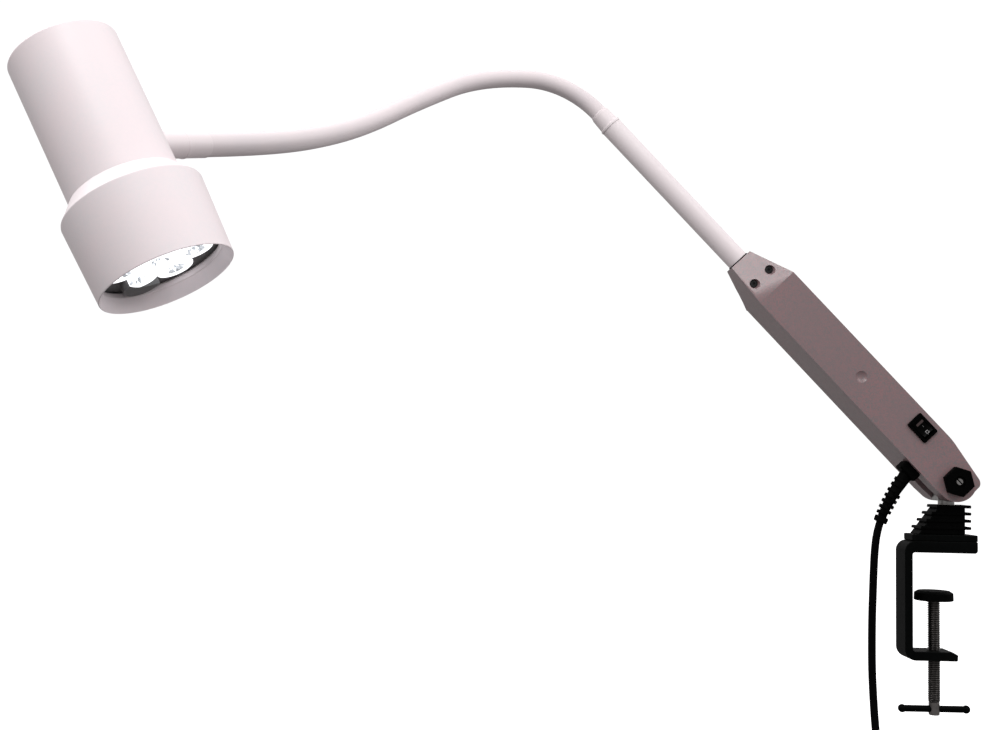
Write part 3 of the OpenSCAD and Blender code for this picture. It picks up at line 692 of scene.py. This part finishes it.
def mains_lead():
    coil = coil_turns()
    x = COIL_CENTRE[0] + 1.5 * CORD_D
    y = COIL_CENTRE[1] - COIL_R - CORD_D
    tail = [(x * MM, y * MM, (COIL_CENTRE[2] - drop) * MM) for drop in (0, 9, 18, 26)]
    path = spline(CORD_ROUTE[:-1], 5) + spline([CORD_ROUTE[-2], coil[0]], 4)[1:-1]
    path += [Vector(p) for p in coil + tail]
    cord = tube("mains_lead", path, CORD_D / 2 * MM, sides=18)
    shade(cord, CORD_SHEATH, replaces=["mains_cord", "cord_coil"], angle=60)
    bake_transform(cord)


def cord_tie():
    """Moulded strap round the coil's upper turns, with its stub."""
    x, y, z = COIL_CENTRE
    w, h = 2 * CORD_D + 1.5, 1.5 * CORD_D + 2
    outer = rectangle(w, h, 4)
    inner = rectangle(w - 1.2, h - 1.2, 3)
    place = ROW @ move(x, y, z + COIL_R)
    strap = slab("cord_tie_strap", outer, -4.5, 4.5, place)
    combine(strap, [slab("inside", inner, -6, 6, place)])
    bevel(strap, 0.5, 2)
    head = box_piece("tie_head", (-3.4, -3.6, h - 0.4), (3.4, 3.6, h + 1.4), place)
    bevel(head, 0.6, 2)
    combine(strap, [head], "UNION")
    return shade(strap, BLACK_RUBBER, "swivel", ["cord_tie"])


def mains_plug():
    """Round two-pin plug, hanging from the lead, with a ribbed neck and finger grip."""
    x = COIL_CENTRE[0] + 1.5 * CORD_D
    y = COIL_CENTRE[1] - COIL_R - CORD_D
    place = ROW @ move(x, y, COIL_CENTRE[2] - 26)
    neck = []
    for k in range(8):
        z = -1.0 - 2.5 * k
        r = 3.9 + 0.32 * k
        neck += [(r + 0.5, z), (r + 0.5, z - 1.3), (r - 0.25, z - 1.7), (r - 0.1, z - 2.3)]
    profile = ([(0, -0.3), (3.5, -0.3), (3.9, -0.6)] + neck
               + [(6.6, -22), (8.6, -22.6)] + arc_points(8.5, -31, 8, 88, 12, 6)
               + [(17.0, -32)]
               + [(17.0 + (0.7 * math.sin(k * 1.3) ** 2) + 0.045 * k, -33 - 0.7 * k) for k in range(26)]
               + [(18.5, -52)] + arc_points(17.4, -52.8, 1.1, 0, -90, 4) + [(0, -53.9)])
    body = lathe("mains_plug_body", profile, place, 72)
    return shade(body, BLACK_PLASTIC, "swivel", ["mains_plug"], angle=50)


FREE_FLANK = -1     # side of the boot whose upper third has no ribs


def strain_relief():
    """Moulded boot: foot on the housing's underside, core, and staggered half ribs."""
    line = spline(RELIEF_ROUTE, 16)
    start = 10
    core = [5.5 - 1.9 * smoothstep((i - start) / (len(line) - start)) for i in range(start, len(line))]
    piece = tube("strain_relief_boot", line[start:], [r * MM for r in core], 28)
    parts = []
    first_rib, rib_step, ribs_end, bare_end = 8.6, 2.5, 43, 20     # along the boot
    travelled, last, due, index = 0, line[start], first_rib, 0
    for i in range(start + 1, len(line)):
        travelled += (line[i] - last).length / MM
        last = line[i]
        if travelled < due or travelled > ribs_end:
            continue
        due += rib_step
        point, tangent = line[i], (line[min(i + 1, len(line) - 1)] - line[i - 1]).normalized()
        left = Vector((0, 1, 0)).cross(tangent).normalized()
        side = 1 if index % 2 else -1
        index += 1
        if side == FREE_FLANK and travelled < bare_end:
            continue
        reach = 6.7 - 1.1 * travelled / ribs_end
        turn_to = Matrix((
            (*(left * side), 0), (*(tangent.cross(left * side)), 0), (*tangent, 0), (0, 0, 0, 1)
        )).transposed()
        turn_to.translation = point
        rib = prism("rib", arc_points(0.4, 0, reach - 0.4, -100, 100, 16) + [(0, 3), (0, -3)],
                    -1.2, 1.2, turn_to @ ROW)
        bevel(rib, 0.3, 2, angle=40)
        parts.append(rib)
    end = line[-1]
    tangent = (line[-1] - line[-3]).normalized()
    ring_turn = tangent.to_track_quat("Z", "Y").to_matrix().to_4x4()
    ring_turn.translation = end
    collar = lathe("collar", [(0, -3.4), (5.1, -3.4), (5.6, -2.9), (5.5, 0.6), (5.0, 1.4), (0, 1.4)],
                   ring_turn @ ROW, 40)
    foot = box_piece("foot", (23, 7.6, -HOUSING_DOWN - 8), (39.6, 21.5, -HOUSING_DOWN - 0.05), ARM)
    bevel(foot, 1.4, 4)
    return shade(combine(piece, parts + [collar, foot], "UNION"), BLACK_RUBBER, "arm",
                 ["strain_relief"], angle=40)


# ---- Gooseneck ----


def neck_sleeve(k):
    """Silicone sleeve over arc k, as a smooth tube along the arc as it is at rest."""
    rings, sides = 44, 40
    verts, faces = [], []
    for inner in (False, True):
        r = SLEEVE_R - (SLEEVE_WALL if inner else 0)
        for i in range(rings + 1):
            here = ARC_STARTS[k] @ arc_step(*ARCS[k], i / rings)
            verts += [here @ Vector((*polar(r, s / sides), 0)) for s in range(sides)]
    half = (rings + 1) * sides
    for a in range(0, rings * sides, sides):
        faces += bridge(a, a + sides, sides) + bridge(half + a + sides, half + a, sides)
    faces += bridge(half, 0, sides) + bridge(rings * sides, half + rings * sides, sides)
    sleeve = new_object(f"sleeve_{k + 1}", verts, faces)
    shade(sleeve, WHITE_SLEEVE, replaces=[f"neck_sleeve_{k + 1}"], angle=50)
    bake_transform(sleeve)


def arm_tube():
    """Rigid coated tube, with its rounded upper end inside the ferrule."""
    bore = TUBE_R - 1.5
    profile = [(bore, 200), (TUBE_R - 0.2, 200), (TUBE_R, 200.2), (TUBE_R, TUBE_END - 0.3),
               (TUBE_R - 0.3, TUBE_END), (bore, TUBE_END)]
    piece = lathe("arm_tube_pipe", profile, ARM @ turn(90, "Y"), 96)
    shade(piece, WHITE_TUBE, "arm", ["arm_tube"], angle=30)


def base_ferrule():
    """White sleeve end between the rigid tube and the gooseneck, with two turned grooves."""
    z0 = TUBE_END
    profile = [(TUBE_R - 1.6, z0 - 14), (TUBE_R - 1.6, z0 + 0.05), (TUBE_R + 0.1, z0 + 0.05),
               (TUBE_R + 0.4, z0 + 0.35), (TUBE_R + 0.4, z0 + 1.9), (TUBE_R + 0.1, z0 + 2.2),
               (TUBE_R - 0.3, z0 + 2.3), (SLEEVE_R + 0.85, NECK_START - 1.9),
               (SLEEVE_R + 0.5, NECK_START - 1.8), (SLEEVE_R + 0.45, NECK_START - 0.5),
               (SLEEVE_R + 0.1, NECK_START), (4.6, NECK_START), (4.6, z0 - 14)]
    piece = lathe("base_ferrule_sleeve", profile, ARM @ turn(90, "Y"), 72)
    shade(piece, WHITE_TUBE, "arm", ["base_ferrule"], angle=30)


def end_collar():
    """Tubular collar that carries the head on the gooseneck, with two turned rings."""
    x0, x1 = BARREL_R - 0.6, BARREL_R + COLLAR_L
    r = SLEEVE_R + 0.45
    profile = [(2.8, x0), (r + 0.5, x0), (r + 0.15, x0 + 1.6)]
    for at in (3, 21):
        z = BARREL_R + at
        profile += [(r, z - 0.4), (r + 0.3, z), (r + 0.4, z + 0.4), (r + 0.4, z + 1.0),
                    (r + 0.3, z + 1.4), (r, z + 1.8)]
    profile += [(r, x1 - 0.5), (r - 0.3, x1), (2.8, x1)]
    piece = lathe("end_collar_body", profile, HEAD @ turn(90, "Y"), 72)
    shade(piece, WHITE_TUBE, "head", ["end_collar"], angle=40)


# ---- Housing ----


def side_outline():
    shoulder_r, slope, corner_r = 60, 11, 6.4
    return (arc_points(32, HOUSING_UP - shoulder_r, shoulder_r, 90, 90 + slope, 8)
            + arc_points(-9.6, 8.6, corner_r, 90 + slope, 160, 6)
            + arc_points(0, 0, END_R, 162, 258, 24)
            + [(8, -HOUSING_DOWN), (HOUSING_L, -HOUSING_DOWN), (NOSE_X, -NOSE_HALF),
               (NOSE_X, NOSE_HALF), (HOUSING_L, HOUSING_UP)])


def depth_outline():
    return [(-END_R - 1, -HOUSING_FAR), (HOUSING_L, -HOUSING_FAR), (NOSE_X, -NOSE_HALF),
            (NOSE_X, NOSE_HALF), (HOUSING_L, HOUSING_NEAR), (-END_R - 1, HOUSING_NEAR)]


def housing_form(name, y0, y1):
    """Outer form between two depths: the side outline met by the depth outline."""
    form = slab(name, side_outline(), y0, y1, ARM)
    depth = prism("depth", depth_outline(), -HOUSING_DOWN - 2, HOUSING_UP + 2, ARM)
    combine(form, [depth], "INTERSECT")
    with edited(form.data) as bm:
        bmesh.ops.dissolve_limit(bm, angle_limit=math.radians(0.5), verts=bm.verts, edges=bm.edges)
    return form


TO_ARM = ARM.inverted()


def housing_edge(a, b):
    """Edge rounding as a share of 2 mm: generous along the upper side and end, crisp elsewhere."""
    a, b = TO_ARM @ a, TO_ARM @ b
    mid = (a + b) / 2
    if abs(mid.y - COVER_Y) < 0.4:
        return 0.12
    upper = a.z > 5 and b.z > 5 and mid.x < HOUSING_L + 1
    end = mid.x < 6 and mid.z > -HOUSING_DOWN + 0.5
    if (upper or end) and (a - b).y ** 2 < 0.01:
        return 1.0
    return 0.4


def front_housing():
    near = HOUSING_NEAR
    form = housing_form("front_housing_shell", COVER_Y + 0.05, near)
    bevel(form, 2.0, 5, angle=24, wide=housing_edge)
    slot_half, slot_x, slot_top = 8.2, 26, 13.6     # slot that the knuckle tilts in
    cuts = [
        box_piece("cavity", (slot_x + 6, COVER_Y - 1, -HOUSING_DOWN + WALL),
                  (206, near - WALL, HOUSING_UP - WALL), ARM),
        box_piece("slot", (-END_R - 5, -slot_half, -HOUSING_DOWN - 1), (slot_x, slot_half, slot_top), ARM),
        rod("bolt_hole", 3.05, 56, ARM @ along_y(0, -29, 0)),
        box_piece("switch_seat", (SWITCH_X - 9.6, near - 8, SWITCH_Z - 6.6),
                  (SWITCH_X + 9.6, near + 1, SWITCH_Z + 6.6), ARM),
        rod("relief_hole", 3.2, 6, ARM @ move(32.3, 14, -HOUSING_DOWN - 1)),
        rod("tube_bore", TUBE_R + 0.7, 70, ARM @ move(190, 0, 0) @ turn(90, "Y"), 72),
        box_piece("saddle_pocket", (205, 6, -11.2), (237.2, 12.4, 12.2), ARM),
        lathe("dimple", [(0, -7.8)] + arc_points(0, 0, 7.8, -78, 78, 20) + [(0, 7.8)],
              ARM @ along_y(DIMPLE_X, near + 6, DIMPLE_Z), 64),
    ]
    for z in NOSE_SCREWS_Z:
        cuts.append(lathe("recess", [(0, 14), (3.5, 14), (3.5, 17.6), (9, 30), (0, 30)],
                          ARM @ along_y(NOSE_SCREW_X, 0, z), 48))
    combine(form, cuts)
    shade(form, GREY_COAT, "arm", ["front_housing"], angle=24)


def rear_cover():
    form = housing_form("rear_cover_shell", -HOUSING_FAR, COVER_Y - 0.05)
    bevel(form, 2.0, 5, angle=24, wide=housing_edge)
    cuts = [
        box_piece("cavity", (32, -HOUSING_FAR + WALL, -HOUSING_DOWN + WALL),
                  (198, COVER_Y + 1, HOUSING_UP - WALL), ARM),
        rod("bolt_hole", 3.05, 56, ARM @ along_y(0, -30, 0)),
        rod("bolt_seat", 5.95, 6, ARM @ along_y(0, -HOUSING_FAR - 1.4, 0), 6),
    ]
    for z in (-12.5, 14.5):
        cuts.append(rod("screw_seat", 3.4, 4, ARM @ along_y(211, -HOUSING_FAR - 1, z)))
    combine(form, cuts)
    shade(form, GREY_COAT, "arm", ["rear_cover"], angle=24)


def nose_screws():
    """Socket-head screws sunk in the nose, joined as one piece."""
    parts = []
    for z in NOSE_SCREWS_Z:
        head = lathe("nose_screw", [(0, 8.6), (2, 8.6), (2, 14.1), (3.3, 14.1)]
                     + arc_points(2.7, 15.8, 0.6, 0, 90, 4) + [(0, 16.4)],
                     ARM @ along_y(NOSE_SCREW_X, 0, z), 40)
        combine(head, [rod("socket", 1.5, 4, ARM @ along_y(NOSE_SCREW_X, 14.8, z), 6)])
        parts.append(head)
    screws = join(parts, "nose_socket_screws")
    shade(screws, DARK_SCREW, "arm", ["nose_screws"], angle=30)


def join(parts, name):
    """One object holding the closed meshes of several."""
    bm = bmesh.new()
    for part in parts:
        bm.from_mesh(part.data)
        bpy.data.objects.remove(part)
    mesh = bpy.data.meshes.new(name)
    bm.to_mesh(mesh)
    bm.free()
    return add_to_scene(name, mesh)


def hex_knob():
    """Hexagonal knob with chamfered corners and a sunk centre, on the end of the tilt bolt."""
    near = HOUSING_NEAR
    corners = [(*polar(12.7, (k + 0.5) / 6), 0.9) for k in range(6)]    # 22 mm across flats
    place = ARM @ along_y(0, near, 0)
    knob = prism("hex_knob_grip", rounded(corners, 4), 1.4, 7, place)
    bevel(knob, 0.7, 3, angle=40)
    boss = rod("boss", 10.4, 1.5, place @ move(0, 0, 0.3))
    combine(knob, [boss], "UNION")
    combine(knob, [rod("bore", 3.05, 12, place),
                   lathe("sink", [(0, 6.1), (4.3, 6.1), (4.9, 7.5), (0, 7.5)], place, 48)])
    shade(knob, BLACK_PLASTIC, "knob", ["hex_knob"], angle=30)
    length = HOUSING_FAR + near + 5.6
    bolt = lathe("tilt_bolt", [(0, 0), (3, 0), (3, length - 0.6), (2.5, length), (0, length)],
                 ARM @ along_y(0, -HOUSING_FAR + 1, 0), 48)
    hexagon = prism("bolt_head", [polar(5.8, k / 6) for k in range(6)], 0, 4,
                    ARM @ along_y(0, -HOUSING_FAR + 0.5, 0))
    bevel(hexagon, 0.4, 2, angle=40)
    combine(bolt, [hexagon], "UNION")
    combine(bolt, [box_piece("slot", (-3.6, near + 5.5, -0.55), (3.6, near + 7, 0.55), ARM)])
    shade(bolt, BRIGHT_STEEL, "arm", ["pivot_bolt"], angle=30)


def rocker_switch():
    """Rocker switch: rounded bezel, curved rocker, plain I and O marks, and a pale bar of painted
    highlight.
    """
    near = HOUSING_NEAR
    rocker_depth, rocker_tilt = 4, 7
    pivot = ARM @ move(SWITCH_X, near - rocker_depth, SWITCH_Z)
    proud = pivot @ turn(-90, "X")     # local Z towards the near side
    rim = prism("switch_rim", rectangle(10.5, 7.5, 1.6), rocker_depth + 0.05, rocker_depth + 2, proud)
    bevel(rim, 0.5, 3, angle=40)
    body = box_piece("switch_body", (-9.4, -9, -6.4), (9.4, rocker_depth + 1, 6.4), pivot)
    combine(rim, [body], "UNION")
    combine(rim, [box_piece("well", (-8.2, -5, -5.2), (8.2, rocker_depth + 3, 5.2), pivot)])
    shade(rim, BLACK_PLASTIC, "arm", ["switch_bezel"], angle=30)

    tilted = pivot @ turn(-rocker_tilt, "Z")
    outline = ([(-7.3, 7), (-7.9, 1), (-5, -3), (5, -3), (7.9, 1), (7.3, 7)]
               + arc_points(0, CROWN_Y, CROWN_R, -69, -111, 12))
    rocker = prism("switch_rocker_cap", outline, -4.9, 4.9, tilted)
    bevel(rocker, 0.35, 3, angle=30)
    combine(rocker, [rod("pin", 1, 12.2, pivot @ move(0, 0, -6.1))], "UNION")
    shade(rocker, BLACK_GLOSS, "rocker", ["switch_rocker"], angle=30)

    def on_face(x, z):
        """Matrix of a place on the rocker's curved face."""
        y = CROWN_Y - math.sqrt(CROWN_R ** 2 - x ** 2)
        lean = math.degrees(math.asin(x / CROWN_R))
        return tilted @ move(x, y, z) @ turn(lean, "Z") @ turn(-90, "X")

    def mark(name, outline, x, z, mat, hole=None):
        """Thin shape lying on the rocker's curved face: a printed mark, or the bar of painted highlight."""
        piece = prism(name, outline, -0.05, 0.09, on_face(x, z))
        if hole:
            combine(piece, [prism("hole", hole, -1, 1, on_face(x, z))])
        return shade(piece, mat, "rocker", angle=30)

    mark("mark_on", rectangle(0.9, 0.15, 0.1, 2), 0.1, 1.2, PRINT_DIM)
    mark("mark_off", rectangle(1.35, 1.2, 0.35, 4), -5.4, 0.3, PRINT_WHITE,
         hole=rectangle(0.95, 0.85, 0.2, 4))
    # Bar of painted highlight: stands for light caught along the rocker's curve; it is not a printed mark.
    mark("painted_highlight_bar", rectangle(1.0, 3.5, 0.3, 2), 3.7, 1.1, HIGHLIGHT_BAR_PAINT)


# ---- Head ----


def barrel():
    back, r, wall = -BARREL_BACK, BARREL_R, 2
    edge = 1.2
    profile = ([(0, back)] + arc_points(r - edge, back + edge, edge, -90, 0, 6)
               + [(r, BARREL_FRONT), (r - wall, BARREL_FRONT), (r - wall, back + wall), (0, back + wall)])
    piece = lathe("barrel_shell", profile, HEAD, 160)
    combine(piece, [rod("hole", 5, 20, HEAD @ move(BARREL_R - 12, 0, 0) @ turn(90, "Y"))])
    shade(piece, WHITE_PAINT, "head", ["barrel"], angle=35)


def shade_shell():
    """Wider front shell: conical shoulder, body, and the bevel inside the rim."""
    r, front = SHADE_R, SHADE_FRONT
    f, wide = BARREL_FRONT, SHADE_R + 1.8
    profile = ([(BARREL_R - 2.1, f - 9), (BARREL_R - 2.1, f + 0.05), (BARREL_R, f + 0.05),
                (BARREL_R + 0.2, f + 0.2)]
               + [(wide - 0.9, f + SHOULDER - 0.5), (wide - 0.3, f + SHOULDER + 0.1),
                  (wide - 0.02, f + SHOULDER + 1)]
               + [(r, front - 0.6), (r - 0.15, front - 0.15), (r - 0.5, front)]
               + [(LIP_R + 0.5, front - 7.6), (LIP_R + 0.1, front - 8), (LIP_R, front - 8.4),
                  (LIP_R, LENS_Z + 0.2), (r - 2, LENS_Z - 0.9), (r - 2, f + SHOULDER + 1),
                  (BARREL_R - 3.4, f + 1), (BARREL_R - 3.4, f - 9)])
    piece = lathe("shade_shell", profile, HEAD, 192)
    shade(piece, WHITE_PAINT, "head", ["shade"], angle=24)


LENS_PLACES = [(0, 0)] + [polar(LENS_RING, a / 360) for a in range(30, 390, 60)]


def bezel_ring():
    """Dark plate behind the rim, cut out for the flower of seven lenses."""
    z = LENS_Z
    plate = lathe("lens_bezel", [(4, z - 4), (SHADE_R - 2.1, z - 4), (SHADE_R - 2.1, z - 1),
                                 (LIP_R - 0.4, z - 0.95), (4, z - 1)], HEAD, 128)
    cuts = [rod("hole", LENS_R + 0.1, 12, HEAD @ move(x, y, z - 8), 72) for x, y in LENS_PLACES]
    cuts.append(rod("middle", LENS_RING, 12, HEAD @ move(0, 0, z - 8), 72))
    combine(plate, cuts)
    shade(plate, DARK_BEZEL, "head", ["bezel_ring"], angle=30)


def lens_cluster():
    """Seven clear lenses moulded side by side; each has a faceted well over its light source."""
    well_r, well_depth, sectors = 6.2, 4.2, 14
    dome = ([(0, LENS_Z - 18.5), (4, LENS_Z - 18.5), (LENS_R - 0.6, LENS_Z - 6.5),
             (LENS_R, LENS_Z - 6), (LENS_R, LENS_Z - 0.6)]
            + arc_points(LENS_R - 0.6, LENS_Z - 0.6, 0.6, 0, 90, 4) + [(0, LENS_Z)])
    body, *others = [lathe("lens", dome, HEAD @ move(x, y, 0), 56) for x, y in LENS_PLACES]
    combine(body, others, "UNION")
    well = [(0, LENS_Z - well_depth), (2.2, LENS_Z - well_depth), (well_r, LENS_Z + 0.2),
            (well_r, LENS_Z + 1), (0, LENS_Z + 1)]
    combine(body, [lathe("well", well, HEAD @ move(x, y, 0), sectors) for x, y in LENS_PLACES])
    body.name = "lens_cluster_front"
    shade(body, LENS_GLOW, "head", ["lens_cluster"], angle=20)
    crystal = join([lens_facets(x, y, well_r - 0.25, well_depth - 0.1, sectors)
                    for x, y in LENS_PLACES], "lens_well_facets")
    # Painted glints: each facet of the liners gets its own brightness.
    paint_facet_glints(crystal)
    shade(crystal, LENS_FACET_GLINTS, "head", flat=True)


def lens_facets(x, y, r, depth, sectors):
    """Closed faceted liner of one lens well, each facet a little out of true."""
    levels = [(r, 0), (r * 0.74, 0.42), (r * 0.5, 0.75), (2.0, 1.0)]
    verts, faces = [], []
    for inner in (False, True):
        for i, (radius, share) in enumerate(levels):
            for k in range(sectors):
                wobble = 0 if inner or i in (0, 3) else random.uniform(-0.35, 0.35)
                rr = radius + wobble + (0.35 if inner else 0)
                z = LENS_Z - depth * share - (0.25 if inner else 0) - 0.05
                dx, dy = polar(rr, (k + 0.5 * (i % 2)) / sectors)
                verts.append((x + dx, y + dy, z))
    n = len(levels) * sectors
    for i in range(len(levels) - 1):
        for k in range(sectors):
            m = (k + 1) % sectors
            a, b = i * sectors, (i + 1) * sectors
            first = [[a + k, a + m, b + k], [a + m, b + m, b + k]]
            if i % 2:
                first = [[a + k, a + m, b + m], [a + k, b + m, b + k]]
            faces += first + [[n + v for v in reversed(f)] for f in first]
    for k in range(sectors):
        m = (k + 1) % sectors
        bottom = (len(levels) - 1) * sectors
        faces.append([k, n + k, n + m, m])
        faces.append([bottom + k, bottom + m, n + bottom + m, n + bottom + k])
    return new_object("facets", verts, faces, HEAD)


def paint_facet_glints(obj):
    """Grey-blue value of each facet, picked at random: painted glints and shade, standing for light caught
    in the crystal facets.
    """
    layer = obj.data.attributes.new("facet", "FLOAT_COLOR", "CORNER")
    for face in obj.data.polygons:
        value = random.choice((0.42, 0.58, 0.75, 1.2, 1.6, 1.9))
        for corner in face.loop_indices:
            layer.data[corner].color = (value * 0.96, value * 0.98, value, 1)


# ---- Clamp ----


def clamp_frame():
    upper_x, upper_t, low, jaw, spine, spine_out = 22, 9.5, -88, -80.5, -32, -38.5
    outline = (arc_points(upper_x - 2.5, 2.5, 2.5, -90, 0, 5) + [(upper_x, upper_t)]
               + arc_points(spine_out + 9, upper_t - 9, 9, 90, 180, 12)
               + arc_points(spine_out + 9, low + 9, 9, 180, 270, 12)
               + [(4.8, low), (5.3, low + 5), (0.5, jaw)]
               + arc_points(spine + 2, jaw + 2, 2, 270, 180, 6) + arc_points(spine + 2, -2, 2, 180, 90, 6))
    piece = slab("clamp_casting", outline, -FRAME_W / 2, FRAME_W / 2, ROW)
    bevel(piece, 0.9, 4, angle=30)
    cuts = [rod("screw_hole", 5.05, 12, ROW @ move(-SCREW_X, 0, low - 1))]
    for x, y in ((-17, -6), (-17, 6), (8.5, -8), (8.5, 8)):
        cuts.append(lathe("screw_seat", [(0, -1), (3, -1), (3, 4.6), (1.6, 4.6), (1.6, 11), (0, 11)],
                          ROW @ move(x, y, 0), 32))
    combine(piece, cuts)
    shade(piece, BLACK_COAT, "clamp", ["clamp_frame"], angle=30)


def top_plate():
    plate = prism("top_plate_slab", rectangle(27.25, 12.5, 3, 6), 9.5, 15, ROW @ move(-4.75, 0, 0))
    bevel(plate, 0.9, 4, angle=40)
    shade(plate, BLACK_COAT, "clamp", ["top_plate"], angle=30)


def swivel_socket():
    """Ribbed moulded socket: a raked block with four fins, bored for the stem."""
    base, top = 15, 39.6

    def left(z):
        return -8.3 - (top - z) * 0.75

    core = slab("socket_block", [(12, base), (12, top), (left(top), top), (left(base), base)],
                -11, 11, ROW)
    bevel(core, 0.8, 3, angle=30)
    fins = []
    for i in range(4):
        z = top - 2.5 - 5.9 * i
        tip = left(z) - 2
        fin = slab("fin", [(16.6, z), (16.6, z + 2.5), (tip + 0.5, z + 2.5), (tip, z)],
                   -12.3, 12.3, ROW)
        bevel(fin, 0.55, 3, angle=30)
        fins.append(fin)
    combine(core, fins, "UNION")
    combine(core, [rod("bore", 8.2, 30, ROW @ move(0, 0, 22)), rod("seat", 7.4, 12, ROW @ move(0, 0, 14))])
    shade(core, BLACK_PLASTIC, "clamp", ["swivel_socket"], angle=30)


def pressure_pad():
    z = -39.8
    profile = ([(0, z + 5), (5.1, z + 5), (5.1, z), (14.4, z)] + arc_points(14.9, z + 0.9, 0.9, -90, -10, 4)
               + [(15.6, z + 5.8)] + arc_points(15.0, z + 6.0, 0.6, 10, 70, 3)
               + [(12.8, z + 8), (0, z + 8)])
    piece = lathe("pressure_pad_disc", profile, SCREW, 96)
    shade(piece, BLACK_RUBBER, "pad", ["pressure_pad"], angle=30)


def clamp_spindle():
    """Screw with a real helical thread, a plain end below it and the bar's cross hole."""
    pitch, crest, root = 1.5, 5.0, 4.15
    bottom, top, sides, per_turn = -123.4, -35.4, 40, 8
    root_flat, flank = 0.12, 0.5        # shares of half a pitch
    rings = int((top - bottom) / pitch * per_turn)
    verts, faces = [], []
    for i in range(rings + 1):
        z = bottom + (top - bottom) * i / rings
        fade = min(1, (z - bottom) / 2, (top - z) / 2)
        for s in range(sides):
            phase = (z / pitch - s / sides) % 1
            tooth = min(1, max(0, (abs(2 * phase - 1) - root_flat) / flank))
            verts.append((*polar(root + (crest - root) * tooth * fade, s / sides), z))
    for i in range(rings):
        faces += bridge(i * sides, (i + 1) * sides, sides)
    faces += caps(0, rings * sides, sides)
    screw = new_object("clamp_screw", verts, faces, SCREW)
    end = lathe("plain_end", [(0, -133.4), (3.9, -133.4), (4.4, -132.9), (4.4, -123.4), (3.9, -122.9),
                              (0, -122.9)], SCREW, 48)
    combine(end, [rod("cross_hole", 3.1, 20, SCREW @ move(-10, 0, BAR_Z) @ turn(90, "Y"), 32)])
    screw = join([screw, end], "clamp_screw")
    shade(screw, SPINDLE_STEEL, "spindle", ["clamp_spindle"], angle=40)


def tommy_bar():
    half = 28.5
    profile = ([(0, -half - 1.4)] + arc_points(-half + 2, 0, 3.4, 180, 50, 10)[1:]
               + [(-half + 5, 2.75), (half - 5, 2.75)]
               + arc_points(half - 2, 0, 3.4, 130, 0, 10)[:-1] + [(0, half + 1.4)])
    points = [profile[0]] + [(y, x) for x, y in profile[1:-1]] + [profile[-1]]
    bar = lathe("tommy_bar_rod", points, SCREW @ move(0, 0, BAR_Z) @ turn(90, "Y"), 40)
    shade(bar, BLACK_COAT, "bar", ["tommy_bar"], angle=40)


# ---- Small rounding of the CAD pieces that stay ----

ROUNDED_NODES = {"tube_gasket": 0.15, "knuckle_stud": 0.4, "led_driver": 1.0,
                 "terminal_block": 0.5, "driver_board": 0.15, "tube_saddle": 0.4}
for name, width in ROUNDED_NODES.items():
    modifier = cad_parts[name].modifiers.new("rounding", "BEVEL")
    modifier.width = width * MM
    modifier.segments = 2
    modifier.limit_method = "ANGLE"
    modifier.angle_limit = math.radians(50)

place_camera()
plain_stage()
TIE = cord_tie()
PLUG = mains_plug()
mains_lead()
strain_relief()
for arc in range(len(ARCS)):
    neck_sleeve(arc)
for build in (arm_tube, base_ferrule, end_collar, front_housing, rear_cover, nose_screws, hex_knob,
              rocker_switch, barrel, shade_shell, bezel_ring, lens_cluster, clamp_frame, top_plate,
              swivel_socket, pressure_pad, clamp_spindle, tommy_bar):
    build()
